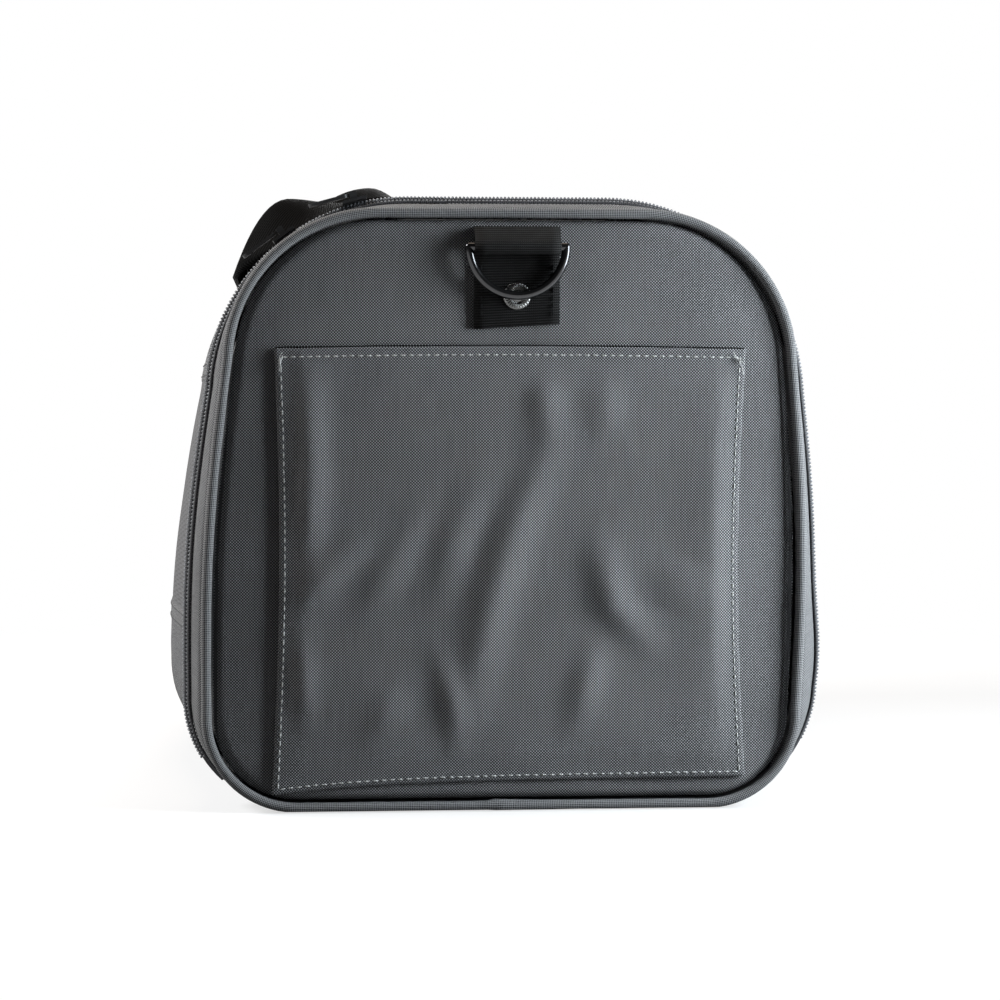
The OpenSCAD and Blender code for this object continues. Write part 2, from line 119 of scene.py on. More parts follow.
def add_node(tree, kind, settings=None, **inputs):
    """Adds a node; an input is given by its name with _ for spaces, or by its place as _0, _1."""
    node = tree.nodes.new(kind)
    for key, value in (settings or {}).items():
        setattr(node, key, value)
    for key, value in inputs.items():
        place = int(key[1:]) if key[1:].isdigit() else key.replace("_", " ")
        fill(tree, node.inputs[place], value)
    return node


def new_material(name, **sockets):
    """A material with one Principled shader, whose constant sockets are set here."""
    material = bpy.data.materials.new(name)
    material.use_nodes = True
    shader = material.node_tree.nodes["Principled BSDF"]
    for key, value in sockets.items():
        shader.inputs[key.replace("_", " ")].default_value = value
    return material, material.node_tree, shader


def calc(tree, operation, a, b=0.0):
    return add_node(tree, "ShaderNodeMath", {"operation": operation}, _0=a, _1=b).outputs[0]


def times(tree, a, b):
    return calc(tree, "MULTIPLY", a, b)


def tint(tree, a, b, amount):
    """Colour between a and b."""
    return add_node(tree, "ShaderNodeMix", {"data_type": "RGBA"}, _0=amount, _6=a, _7=b).outputs[2]


def stretch(tree, value, low, high, to_low=0.0, to_high=1.0):
    """Carries the range low to high smoothly to another range."""
    return add_node(tree, "ShaderNodeMapRange", {"interpolation_type": "SMOOTHSTEP"},
                    _0=value, _1=low, _2=high, _3=to_low, _4=to_high).outputs[0]


def cloud(tree, size, detail=2.0):
    """Soft noise in the object's own space, with features of about this size in metres."""
    where = add_node(tree, "ShaderNodeTexCoord").outputs["Object"]
    made = add_node(tree, "ShaderNodeTexNoise", Vector=where, Scale=1 / size, Detail=detail)
    return made.outputs["Fac"]


def map_axes(tree):
    """The two axes of the cloth's map, in metres."""
    place = add_node(tree, "ShaderNodeUVMap").outputs[0]
    return add_node(tree, "ShaderNodeSeparateXYZ", Vector=place).outputs


def paint(tree, shader, dark, light, amount):
    fill(tree, shader.inputs["Base Color"], tint(tree, dark, light, amount))


def scaled(colour, share):
    return tuple(min(1, share * c) for c in colour[:3]) + (1,)


def bump(tree, shader, height, strength, distance):
    made = add_node(tree, "ShaderNodeBump", Height=height, Strength=strength, Distance=distance)
    fill(tree, shader.inputs["Normal"], made.outputs[0])


print("shader helpers ready")

# %% [markdown]
# ## Floor
# The photograph is a product picture on white. The floor is a white sheet that the camera sees at
# full strength, mixed near the bag with enough plain diffuse to keep its contact shadow. The sky
# is white to the camera too, and gives the bag only a little light from all round.

# %% White floor and sky
WHITE, PAPER, PAPER_DIM = (1, 1, 1, 1), (0.9, 0.9, 0.9, 1), (0.14, 0.14, 0.14, 1)
SHADOW_FROM, SHADOW_TO, SHADOW_GLOW = 0.35, 0.8, 0.62
FLOOR_SIZE, FLOOR_DROP, AMBIENT = 14, 0.4 * MM, 0.035


def seen_by(tree, *kinds):
    """1 for rays of these kinds and 0 for the others."""
    rays = add_node(tree, "ShaderNodeLightPath").outputs
    seen = rays[kinds[0]]
    for kind in kinds[1:]:
        seen = calc(tree, "MAXIMUM", seen, rays[kind])
    return seen


white_floor = bpy.data.materials.new("white_floor")
white_floor.use_nodes = True
tree = white_floor.node_tree
tree.nodes.clear()
seen = seen_by(tree, "Is Camera Ray", "Is Glossy Ray", "Is Transmission Ray")
paper = add_node(tree, "ShaderNodeBsdfDiffuse", Color=tint(tree, PAPER_DIM, PAPER, seen))
glow = add_node(tree, "ShaderNodeEmission", Color=WHITE, Strength=1.0)
place = add_node(tree, "ShaderNodeTexCoord").outputs["Object"]
from_bag = add_node(tree, "ShaderNodeVectorMath", {"operation": "LENGTH"}, _0=place)
far = stretch(tree, from_bag.outputs["Value"], SHADOW_FROM, SHADOW_TO, SHADOW_GLOW, 1.0)
surface = add_node(tree, "ShaderNodeMixShader", _0=times(tree, seen, far),
                   _1=paper.outputs[0], _2=glow.outputs[0])
add_node(tree, "ShaderNodeOutputMaterial", Surface=surface.outputs[0])

bpy.ops.mesh.primitive_plane_add(size=FLOOR_SIZE, location=(0, 0, -FLOOR_DROP))
floor = bpy.context.object
floor.name = "floor"
floor.data.materials.append(white_floor)

world = bpy.data.worlds.new("studio")
bpy.context.scene.world = world
world.use_nodes = True
sky = world.node_tree
sky.nodes.clear()
seen = seen_by(sky, "Is Camera Ray", "Is Transmission Ray")
strength = stretch(sky, seen, 0.0, 1.0, AMBIENT, 1.0)
backdrop = add_node(sky, "ShaderNodeBackground", Color=WHITE, Strength=strength)
add_node(sky, "ShaderNodeOutputWorld", Surface=backdrop.outputs[0])
print("floor", FLOOR_SIZE, "m wide")

# %% [markdown]
# ## Light
# One soft lamp stands close on the right, because the right of the door is much lighter than its
# left. A warm top lamp and a high left lamp stand behind the door's plane, so they light the
# piping, the bands and the walls but not the door, and a rear lamp serves the views from behind.

# %% Soft lamps
Lamp = namedtuple("Lamp", "name place aim size watts colour")
LAMPS = (
    Lamp("key_right", (0.52, -0.4, 0.26), (0.05, -0.2, 0.14), (0.26, 0.38), 7.7, (0.86, 0.94, 1)),
    Lamp("top", (0, 0.15, 1.25), (0, 0, 0.2), (0.8, 0.8), 4.8, (1, 0.82, 0.66)),
    Lamp("left_wall", (-1.1, -0.06, 0.85), (-0.14, -0.05, 0.12), (0.6, 0.6), 22.5, (1, 1, 1)),
    Lamp("rear", (0.35, 1.35, 0.8), (0, 0.2, 0.14), (0.9, 0.9), 14, (1, 1, 1)),
)
for lamp in LAMPS:
    made = bpy.data.objects.new(lamp.name, bpy.data.lights.new(lamp.name, "AREA"))
    made.data.shape = "RECTANGLE"
    made.data.size, made.data.size_y = lamp.size
    made.data.energy, made.data.color = lamp.watts, lamp.colour
    made.location = lamp.place
    made.rotation_euler = (Vector(lamp.place) - Vector(lamp.aim)).to_track_quat("Z", "Y").to_euler()
    bpy.context.scene.collection.objects.link(made)
print("lamps:", len(LAMPS))

# %% [markdown]
# ## Numbers in rows
# Shapes are made as arrays of points. A few small functions serve all of them: rows from separate
# coordinates, lengths along a line, soft steps and bells, noise, and circles swept along a line.

# %% Helpers for shapes
def stack(*axes):
    """Rows of coordinates from numbers and arrays that are spread to one shape."""
    return np.stack(np.broadcast_arrays(*axes), -1)


def between(a, b, t):
    return a * (1 - t) + b * t


def eased(t):
    """Soft step from 0 to 1."""
    t = np.clip(t, 0, 1)
    return t * t * (3 - 2 * t)


def domed(t):
    """Quarter circle: steep at 0, level at 1."""
    return np.sqrt(np.clip(1 - (1 - np.clip(t, 0, 1)) ** 2, 0, 1))


def bell(t):
    return np.exp(-(t**2))


def rough(x, y, z):
    """Smooth noise at the given places."""
    axes = np.broadcast_arrays(*(np.asarray(axis, float) for axis in (x, y, z)))
    values = [noise.noise(Vector(spot)) for spot in zip(*(axis.ravel() for axis in axes))]
    return np.reshape(values, axes[0].shape)


def unit(v):
    return v / np.maximum(np.linalg.norm(v, axis=-1, keepdims=True), 1e-9)


def closed(loop):
    """Repeats a loop's first row at its end."""
    return np.concatenate([loop, loop[:1]])


def run_along(points):
    """Length along a line of points, from its first one."""
    return np.concatenate([[0], np.cumsum(np.linalg.norm(np.diff(points, axis=0), axis=1))])


def at_lengths(s, along, rows):
    """Rows at lengths s of a line whose points lie at the lengths along."""
    return np.stack([np.interp(s, along, column) for column in rows.T], -1)


def ring(sides):
    return np.linspace(0, 2 * np.pi, sides + 1)


def across_line(line, ref):
    """Two directions square to a line at each of its points; the first is square to ref too."""
    ahead = unit(np.gradient(line, axis=0))
    side = unit(np.cross(ahead, ref))
    return side, np.cross(side, ahead)


def tube(line, radius, side, up, turn):
    """Circles round a line, in the plane of the directions side and up."""
    radius = np.broadcast_to(radius, len(line))[:, None, None]
    cos, sin = np.cos(turn)[:, None], np.sin(turn)[:, None]
    return line[:, None] + radius * (cos * side[:, None] + sin * up[:, None])


print("shape helpers ready")

# %% [markdown]
# ## The bag's cross-section
# Looked at from its end, the bag is a rounded shape, wider at its floor than at its top, and
# leaning a little. The body, the piping and the zip all follow it, each at its own size. One
# function draws such an outline as a loop of points with outward directions, always with the same
# number of points on each stretch, so that two outlines can be joined point to point by a band of
# cloth. The body's outline is a little fuller low on its right, where the photograph's zip stands
# out most.

# %% Outlines
Outline = namedtuple("Outline", "w_floor w_top height r_low r_high lift")
BODY = Outline(*mm(277.5, 250.5, 264, 48, 86, 0))
END = Outline(*mm(257.1, 237.7, 254.3, 38, 64, 3))
SIDE_BOW, BAG_LEAN, LEAN_FROM = 3.4 * MM, 6.3 * MM, 1 / 3
FLARE, FLARE_Z, FLARE_HALF = mm(3.2, 62, 27)
ARC_STEPS, FLOOR_STEPS, SIDE_STEPS, TOP_STEPS = 24, 48, 48, 40


def outline(form, grow=0.0):
    """Rows of x, z and outward direction, from the middle of the floor round by the right side."""
    slope = (form.w_floor - form.w_top) / 2 / form.height
    tilt = math.degrees(math.atan(slope))
    low, high, high_z = form.r_low, form.r_high, form.height - form.r_high
    arcs = []
    for side, r, z, start, stop in (
        (1, low, low, -90, tilt), (1, high, high_z, tilt, 90),
        (-1, high, high_z, 90, 180 - tilt), (-1, low, low, 180 - tilt, 270),
    ):
        cx = side * (form.w_floor / 2 - z * slope - r * math.hypot(1, slope))
        cx += BAG_LEAN * ((z + form.lift) / BODY.height - LEAN_FROM)
        a = np.radians(np.linspace(start, stop, ARC_STEPS + 1))
        nx, nz = np.cos(a), np.sin(a)
        arcs.append(stack(cx + (r + grow) * nx, z + form.lift + (r + grow) * nz, nx, nz))
    loop = []
    stretches = ((SIDE_STEPS, SIDE_BOW), (TOP_STEPS, 0), (SIDE_STEPS, -SIDE_BOW), (FLOOR_STEPS, 0))
    for here, after, (steps, bow) in zip(arcs, arcs[1:] + arcs[:1], stretches):
        t = np.linspace(0, 1, steps + 1)[1:-1, None]
        straight = between(here[-1], after[0], t)
        straight[:, 0] += bow * np.sin(np.pi * t[:, 0])
        loop += [here, straight]
    loop = np.concatenate(loop)
    if form is BODY:
        full = FLARE * bell((loop[:, 1] - FLARE_Z) / FLARE_HALF)
        loop[:, 0] += np.where(loop[:, 0] > 0, full, 0)
    return np.roll(loop, FLOOR_STEPS // 2 - 1, axis=0)


BODY_LINE = closed(outline(BODY))
LOOP_POINTS = len(BODY_LINE) - 1
print("outline:", LOOP_POINTS, "points,", round(run_along(BODY_LINE[:, :2])[-1], 4), "m round")

# %% [markdown]
# ## Cloth from a grid
# Cloth pieces are grids of points with a map in metres, so that a weave keeps its real size on
# every piece. The helpers below make the mesh, join the ends of a closed band, and give the cloth
# its thickness with a Solidify modifier. Another one says what a piece rides on and stands for.

# %% Helpers for cloth pieces
JOIN_WITHIN = 2e-6


def mesh_object(name, points, faces, uv, *materials):
    """Smooth object with touching points joined; uv has a place in metres for each point."""
    mesh = bpy.data.meshes.new(name)
    mesh.from_pydata(points.tolist(), [], faces.tolist())
    mesh.uv_layers.new(name="UVMap").data.foreach_set("uv", uv[faces.ravel()].ravel())
    work = bmesh.new()
    work.from_mesh(mesh)
    bmesh.ops.remove_doubles(work, verts=work.verts, dist=JOIN_WITHIN)
    work.to_mesh(mesh)
    work.free()
    mesh.shade_smooth()
    obj = bpy.data.objects.new(name, mesh)
    bpy.context.scene.collection.objects.link(obj)
    for material in materials:
        mesh.materials.append(material)
    return obj


def grid_mesh(name, points, uv, *materials):
    """Object from points[row, column], or from several such grids stacked in one array."""
    rows, columns = points.shape[-3:-1]
    at = np.arange(points.size // 3).reshape(-1, rows, columns)
    quads = np.stack([at[:, :-1, :-1], at[:, :-1, 1:], at[:, 1:, 1:], at[:, 1:, :-1]], -1)
    flat_points, flat_uv = points.reshape(-1, 3), uv.reshape(-1, 2)
    return mesh_object(name, flat_points, quads.reshape(-1, 4), flat_uv, *materials)


def thicken(obj, thick, inside=False):
    """Cloth of this thickness behind the outer face; inside shows the second material there."""
    solid = obj.modifiers.new("thickness", "SOLIDIFY")
    solid.thickness, solid.offset = thick, -1
    if inside:
        solid.material_offset = 1
    return obj


def belongs(obj, body, slot, *stands_for):
    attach(obj, body)
    if stands_for:
        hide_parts(*stands_for)
    return obj


def band_points(stations):
    """Grid of points along the bag: a station is y, outline and growth."""
    loops = [(closed(outline(form, grow)), y) for y, form, grow in stations]
    return np.array([stack(loop[:, 0], y, loop[:, 1]) for loop, y in loops])


def band_uv(points):
    """Map of a band: u round the outline and v along the cloth from its first row."""
    v = np.transpose([run_along(line) for line in points.swapaxes(0, 1)])
    return stack(run_along(points[0]), v)


print("cloth helpers ready")

# %% [markdown]
# ## Woven cloth
# The cloth is a coarse plain weave of shiny synthetic yarn, light grey over dark grey, which
# reads as light dots on a dark ground. A yarn crosses over and under its neighbours, so the
# pattern is the product of two sine waves in the cloth's map: light where the light yarn lies on
# top. Noise moves the yarns a little and changes their tone, as real yarn does, and the same
# pattern drives the bump. The piping and the bands are cut on the bias and pulled tight, so their
# weave looks finer and smoother.

# %% Weave finish
YARN_PITCH, BIAS_PITCH = mm(0.64, 0.55)
DOT_SOFT, DRIFT_GRAIN, SLUB_GRAIN = 0.3, 90.0, (900, 60, 1)


def woven(name, light, dark, pitch, edge):
    material, tree, shader = new_material(
        name, Roughness=0.7, Sheen_Weight=0.03, Sheen_Roughness=0.4, Specular_IOR_Level=0.07)
    place = add_node(tree, "ShaderNodeUVMap").outputs[0]
    drift = add_node(tree, "ShaderNodeTexNoise", Vector=place, Scale=DRIFT_GRAIN, Detail=1.0)
    drift = add_node(tree, "ShaderNodeVectorMath", {"operation": "SCALE"},
                     _0=drift.outputs["Color"], Scale=0.35 * pitch)
    place = add_node(tree, "ShaderNodeVectorMath", _0=place, _1=drift.outputs[0]).outputs[0]
    axes = add_node(tree, "ShaderNodeSeparateXYZ", Vector=place).outputs
    over = times(tree, *(calc(tree, "SINE", times(tree, axes[i], math.pi / pitch)) for i in (0, 1)))
    dots = stretch(tree, over, edge - DOT_SOFT, edge + DOT_SOFT)
    along_yarn = add_node(tree, "ShaderNodeMapping", Vector=place, Scale=SLUB_GRAIN).outputs[0]
    slub = add_node(tree, "ShaderNodeTexNoise", Vector=along_yarn, Scale=1.0).outputs["Fac"]
    tone = times(tree, stretch(tree, slub, 0.2, 0.8, 0.86, 1.1),
                 stretch(tree, cloud(tree, 0.06), 0.25, 0.75, 0.9, 1.08))
    paint(tree, shader, dark, light, times(tree, dots, tone))
    bump(tree, shader, over, 0.35, 0.25 * pitch)
    return material


charcoal = woven("charcoal_weave", (0.41, 0.414, 0.423, 1), (0.034, 0.034, 0.035, 1),
                 YARN_PITCH, 0.28)
charcoal_bias = woven("charcoal_bias_weave", (0.29, 0.29, 0.292, 1), (0.03, 0.03, 0.032, 1),
                      BIAS_PITCH, 0.0)
print("finishes:", charcoal.name, charcoal_bias.name)

# %% [markdown]
# ## Padded door face
# The door is a foam panel under the weave. It is crowned a little, and close to the piping the
# cloth dives into a dark groove where it is sewn in. It is made of rings drawn inward from the
# outline, each a little further out of the groove, which follows the rounded shape without any
# stretched faces.

# %% Door face
PIPE_Y, PIPE_R, PIPE_OUT = mm(220.5, 2.2, 1.2)
FACE_Y, FACE_INSET = PIPE_Y + 1 * MM, 0.7 * MM
GROOVE, ROLL, FACE_LUMP, LUMP_GRAIN = 5.4 * MM, 4.5 * MM, 0.9 * MM, 22
CROWN, HALF_DOOR, DOOR_MIDDLE = 4.6 * MM, 128 * MM, np.array([0, 132 * MM])
NEAR_EDGE, LAST_RING = 0.14, 0.0005
FACE_RINGS = np.concatenate([np.linspace(0, NEAR_EDGE, 13)[:-1], np.linspace(NEAR_EDGE, 1, 40)])


def crowned(x):
    """How far the padded door falls away from its middle towards its sides."""
    return CROWN * (x / HALF_DOOR) ** 4


def end_face(name, direction, inner_loop, fall=crowned):
    """Padded end panel from its groove in to inner_loop, on the end where y has this sign."""
    edge = closed(outline(END, PIPE_OUT - PIPE_R - FACE_INSET))[:, :2]
    rows = []
    for t in FACE_RINGS:
        flat = between(edge, closed(inner_loop), t)
        rise = domed(np.linalg.norm(flat - edge, axis=1) / ROLL)
        lumps = FACE_LUMP * rough(*flat.T * LUMP_GRAIN, direction)
        depth = np.minimum(fall(flat[:, 0]) + GROOVE * (1 - rise), GROOVE)
        rows.append(stack(flat[:, 0], direction * (FACE_Y - depth + lumps * rise), flat[:, 1]))
    points = np.array(rows)[:, ::-direction]
    return grid_mesh(name, points, points[..., [0, 2]], charcoal)


door_face = end_face("door_face", -1, between(DOOR_MIDDLE, outline(END)[:, :2], LAST_RING))
belongs(door_face, "door", "shell_fabric", "door_panel")
print("door face:", len(door_face.data.polygons), "faces")

# %% [markdown]
# ## Piping
# A cord wrapped in a bias-cut strip of the same weave frames the door. It is swept round the
# outline as a tube with a little irregular thickness. Its ends lap at the bottom, a touch left of
# the middle, where one end stands proud of the other.

# %% Piping of both ends
LAP_X, LAP_BELOW, LAP_RISE, LAP_RUN, RESTS = mm(-6, 20, 0.9, 16, 0.1)
CORD_UNEVEN, CORD_GRAIN = 0.07, 55


def piping(name, direction):
    loop = closed(outline(END, PIPE_OUT))
    along = run_along(loop[:, :2])
    past = loop[:, 0] - LAP_X
    lap = np.where((loop[:, 1] < LAP_BELOW) & (past > 0), LAP_RISE * np.exp(-past / LAP_RUN), 0)
    radius = PIPE_R * (1 + CORD_UNEVEN * rough(along * CORD_GRAIN, direction, 0)) + lap
    turn = ring(16)
    out = radius[:, None] * np.cos(turn)
    points = stack(loop[:, :1] + out * loop[:, 2:3],
                   direction * (PIPE_Y + radius[:, None] * np.sin(turn)),
                   np.maximum(loop[:, 1:2] + out * loop[:, 3:4], RESTS))
    bias = stack(PIPE_R * turn + along[:, None], PIPE_R * turn - along[:, None]) / 2**0.5
    return grid_mesh(name, points[:, ::direction], bias[:, ::direction], charcoal_bias)


door_cord = belongs(piping("door_cord", -1), "door", "shell_fabric", "door_piping")
belongs(piping("rear_cord", 1), "shell", "shell_fabric", "rear_piping")
print("piping:", len(door_cord.data.polygons), "faces each")

# %% [markdown]
# ## Flared bands
# A narrow strip of weave joins the piping to the larger outline of the zip. On the door it stops
# above the sill, and at the rear it goes all round. The strip is slightly full between its two
# seams, so its middle stands out a little.

# %% Bands between piping and zip
ZIP_Y, TAPE, TAPE_W, COIL_R, ZIP_GAP = mm(198.5, 1.2, 6, 1.1, 0.2)
BAND_THICK, BAND_FULL, BAND_RIPPLE, BAND_UNDER = mm(1.6, 0.8, 0.5, -0.6)
SEAM_DIP, SEAM_AT, SEAM_HALF, BAND_GRAIN = 2.6 * MM, 0.18, 0.06, 30
ARCH_START = FLOOR_STEPS // 2 + ARC_STEPS // 2
ARCH = slice(ARCH_START, LOOP_POINTS + 1 - ARCH_START)


def flared_band(name, direction, y_body, grow_body, part=slice(None)):
    start, end = band_points([(PIPE_Y - PIPE_R, END, PIPE_OUT + 0.5 * PIPE_R),
                              (y_body, BODY, grow_body)])
    out = stack(BODY_LINE[:, 2], 0, BODY_LINE[:, 3])
    rows = []
    for t in np.linspace(0, 1, 25):
        ripple = BAND_RIPPLE * rough(run_along(end) * BAND_GRAIN, t * 2, direction)
        full = (BAND_FULL + ripple) * math.sin(math.pi * t)
        full -= SEAM_DIP * bell((t - SEAM_AT) / SEAM_HALF)
        rows.append(between(start, end, t) + full[:, None] * out)
    points = np.array(rows)[:, part]
    points[..., 1] *= direction
    points[..., 2] = np.maximum(points[..., 2], RESTS)
    uv = band_uv(points)
    points, uv = points[:, ::direction], uv[:, ::direction]
    band = thicken(grid_mesh(name, points, uv, charcoal_bias), BAND_THICK)
    length, width = run_along(points[0])[-1], run_along(points[:, 0])[-1]
    return band


door_band = flared_band("door_band", -1, ZIP_Y + ZIP_GAP + TAPE_W, BAND_UNDER, ARCH)
belongs(door_band, "door", "shell_fabric", "door_gusset")
belongs(flared_band("rear_band", 1, ZIP_Y, 0.0), "shell", "shell_fabric", "rear_gusset")
print("bands:", [round(v, 3) for v in door_band.dimensions])

# %% [markdown]
# ## Zip
# A coil zip is two nylon spirals sewn to the edges of two tapes. The tapes are thin strips of
# fine dark twill, whose slanting lines are one sine wave across both axes of the map. The nylon
# is a plain plastic with faint mottling.

# %% Tape and coil finishes
def twill(name, colour, pitch):
    material, tree, shader = new_material(name, Roughness=0.6, Sheen_Weight=0.1)
    axes = map_axes(tree)
    slant = times(tree, calc(tree, "ADD", axes[0], axes[1]), 2 * math.pi / pitch)
    slant = calc(tree, "SINE", slant)
    worn = stretch(tree, cloud(tree, 10 * MM), 0.2, 0.8, 0.7, 1.1)
    shade = times(tree, stretch(tree, slant, -1.0, 1.0), worn)
    paint(tree, shader, scaled(colour, 0.35), colour, shade)
    bump(tree, shader, slant, 0.4, 0.2 * pitch)
    return material


def moulded(name, colour, gloss):
    """Plastic with faint mottling in its gloss and tone."""
    material, tree, shader = new_material(name, Coat_Roughness=0.15)
    mottle = cloud(tree, 4 * MM, 4.0)
    paint(tree, shader, scaled(colour, 0.6), colour, stretch(tree, mottle, 0.3, 0.7))
    uneven = stretch(tree, mottle, 0.2, 0.8, gloss * 0.8, gloss * 1.25)
    fill(tree, shader.inputs["Roughness"], uneven)
    bump(tree, shader, mottle, 0.08, 0.2 * MM)
    return material


tape_twill = twill("zip_tape_twill", (0.05, 0.05, 0.056, 1), 0.9 * MM)
coil_nylon = moulded("zip_coil_nylon", (0.21, 0.218, 0.235, 1), 0.32)
print("finishes:", tape_twill.name, coil_nylon.name)

# %% [markdown]
# Each half of the coil is a real spiral, swept along the arch at its true pitch, so the rows of
# light and dark that the photograph shows come from the geometry. The door's half sits a little
# lower than the body's, as if the door pulled it in.

# %% Tapes and coils
COIL_PITCH, COIL_WIRE, COIL_WIDE, ZIP_SLANT = 1.65 * MM, 0.42 * MM, 1.15, 1.6 * MM
TURN_POINTS, WIRE_SIDES, COIL_END = 10, 5, 4
TAPE_SLANT, TAPE_UNDER = 0.7, 1 * MM


def zip_tape(name, y0, y1, slant=0.0):
    stations = [(-y0, BODY, TAPE - slant), (-y1, BODY, TAPE - TAPE_SLANT * slant)]
    points = band_points(stations)[:, ARCH]
    return thicken(grid_mesh(name, points, band_uv(points), tape_twill), TAPE)


def spiral(name, y, handed, slant=0.0):
    """Nylon spiral along the zip's arch; handed is 1 or -1."""
    path = closed(outline(BODY, TAPE + COIL_R - slant))[ARCH.start + COIL_END:ARCH.stop - COIL_END]
    along = run_along(path[:, :2])
    s = np.linspace(0, along[-1], int(along[-1] / COIL_PITCH * TURN_POINTS))
    x, z, nx, nz = at_lengths(s, along, path).T
    turn = handed * 2 * np.pi * s / COIL_PITCH
    swing = COIL_R - COIL_WIRE
    lift, reach = swing * np.cos(turn), COIL_WIDE * swing * np.sin(turn)
    line = stack(x + lift * nx, reach - y, z + lift * nz)
    sides = ring(WIRE_SIDES)
    points = tube(line, COIL_WIRE, *across_line(line, stack(nx, 0, nz)), sides)
    return grid_mesh(name, points, stack(s[:, None], COIL_WIRE * sides), coil_nylon)


DOOR_ZIP, BODY_ZIP = ZIP_Y + ZIP_GAP, ZIP_Y - ZIP_GAP
door_coil = spiral("door_coil", DOOR_ZIP + COIL_R, 1, ZIP_SLANT)
belongs(door_coil, "door", "zip_coil", "door_zip_coil")
belongs(spiral("body_coil", BODY_ZIP - COIL_R, -1), "shell", "zip_coil", "body_zip_coil")
door_tape = zip_tape("door_tape", DOOR_ZIP + TAPE_W + TAPE_UNDER, DOOR_ZIP, ZIP_SLANT)
belongs(door_tape, "door", "zip_tape", "door_zip_tape")
belongs(zip_tape("body_tape", BODY_ZIP, BODY_ZIP - TAPE_W), "shell", "zip_tape", "body_zip_tape")
print("zip coil:", len(door_coil.data.vertices), "points a side")

# %% [markdown]
# ## Slip pocket
# The pocket is one sheet of weave, sewn to the door at its sides and bottom and open under its
# top hem. It is a little bigger than the place it is sewn to, so it lies in soft folds. The folds
# follow the photograph: each is a line of pixels, carried onto the door by the camera, with a
# width and a height. The sum of the folds fades out at the sewn edges, because the thread holds
# the cloth down there.

# %% Folds of the pocket
PICTURE, SENSOR = 1000, 36
Fold = namedtuple("Fold", "pixels half_width_mm height_mm")
FOLDS = (
    Fold([(310, 372), (311, 470), (308, 566)], 6.5, 2.2),
    Fold([(552, 440), (518, 516), (492, 595), (476, 672), (472, 712)], 9, 3.3),
    Fold([(486, 478), (455, 535), (440, 595)], 9, 2.2),
    Fold([(296, 606), (330, 570), (372, 536)], 7, 2.3),
    Fold([(424, 506), (394, 560), (366, 612)], 8, 1.7),
    Fold([(441, 660), (452, 705), (455, 742)], 6, 2.2),
    Fold([(600, 548), (612, 605), (644, 640)], 8, 2.8),
    Fold([(594, 650), (584, 690), (574, 724)], 7, 2.0),
    Fold([(546, 382), (543, 428)], 7, 1.9),
    Fold([(606, 380), (604, 436)], 8, 1.4),
    Fold([(690, 560), (668, 612)], 12, 1.7),
    Fold([(400, 690), (372, 735)], 7, 1.4),
    Fold([(300, 640), (304, 720)], 6, 1.6),
    Fold([(722, 380), (722, 560), (708, 720)], 15, 2.0),
)
FOLD_GAIN, FOLD_ENDS, FOLD_Y = 1.2, 0.35, -FACE_Y - 2 * MM


def at_pixel(px, py):
    """Place on the door, as x and z, that the camera sees at a pixel of the photograph."""
    middle, scale = PICTURE / 2, SENSOR / VIEW_LENS / PICTURE
    ray = Vector(((px - middle) * scale, (middle - py) * scale, -1))
    ray.rotate(camera.rotation_euler)
    reach = (FOLD_Y - camera.location.y) / ray.y
    return camera.location.x + ray.x * reach, camera.location.z + ray.z * reach


def near_line(spots, line):
    """Distance of each spot from a bent line, and how far along the line its nearest point is."""
    best, share = np.full(len(spots), 1e9), np.zeros(len(spots))
    done = run_along(line)
    for a, b, start in zip(line[:-1], line[1:], done):
        step = b - a
        t = np.clip((spots - a) @ step / (step @ step), 0, 1)
        away = np.linalg.norm(spots - a - t[:, None] * step, axis=1)
        closer = away < best
        share[closer] = (start + t[closer] * np.linalg.norm(step)) / done[-1]
        best = np.minimum(best, away)
    return best, share


def fold_height(spots):
    total = np.zeros(len(spots))
    for fold in FOLDS:
        away, share = near_line(spots, np.array([at_pixel(*p) for p in fold.pixels]))
        along = FOLD_ENDS + (1 - FOLD_ENDS) * np.sin(np.pi * share)
        half_width, height = mm(fold.half_width_mm, fold.height_mm)
        total += FOLD_GAIN * height * bell(away / half_width) * along
    return total


print("pocket folds:", len(FOLDS))

# %% [markdown]
# The sheet itself is a fine grid. Its edges wander a little, as a soft sheet's do, and its lower
# edge rises to the right. The height of each point over the door is the cloth's fullness, the
# folds and some slow noise, and it follows part of the door's crown.

# %% Pocket sheet
POCKET_LEFT, POCKET_RIGHT, POCKET_TOP = mm(-99.8, 104.6, 200)
POCKET_LOW_LEFT, POCKET_LOW_RIGHT, LOW_TURN = 7.4 * MM, 13.7 * MM, 0.22
LEFT_SPLAY, LEFT_BOW, RIGHT_BOW, TOP_BOW = mm(1.6, 2.6, 3.4, 1.1)
POCKET_FULL, POCKET_LUMP, POCKET_BASE, CLOTH = mm(0.9, 0.7, 0.5, 1.0)
SEWN_IN, SEWN_W, SEWN_H = mm(13, 203, 192.6)
MOUTH, MOUTH_FLAT, CROWN_SHARE, POCKET_STEPS, POCKET_GRAIN = 0.1, 0.7, 0.6, 150, 28


def pocket_height(spots, a, b):
    """Height of the cloth over the door; a and b run from 0 to 1 across and up the pocket."""
    left, right, low = (eased(d / SEWN_IN) for d in (a * SEWN_W, (1 - a) * SEWN_W, b * SEWN_H))
    lumps = POCKET_LUMP * rough(*spots.T * POCKET_GRAIN, 3.0)
    mouth = np.clip((b - 1 + MOUTH) / MOUTH, 0, 1)
    folds = fold_height(spots) * (1 - MOUTH_FLAT * mouth)
    return left * right * low * (POCKET_FULL + folds + lumps) + POCKET_BASE


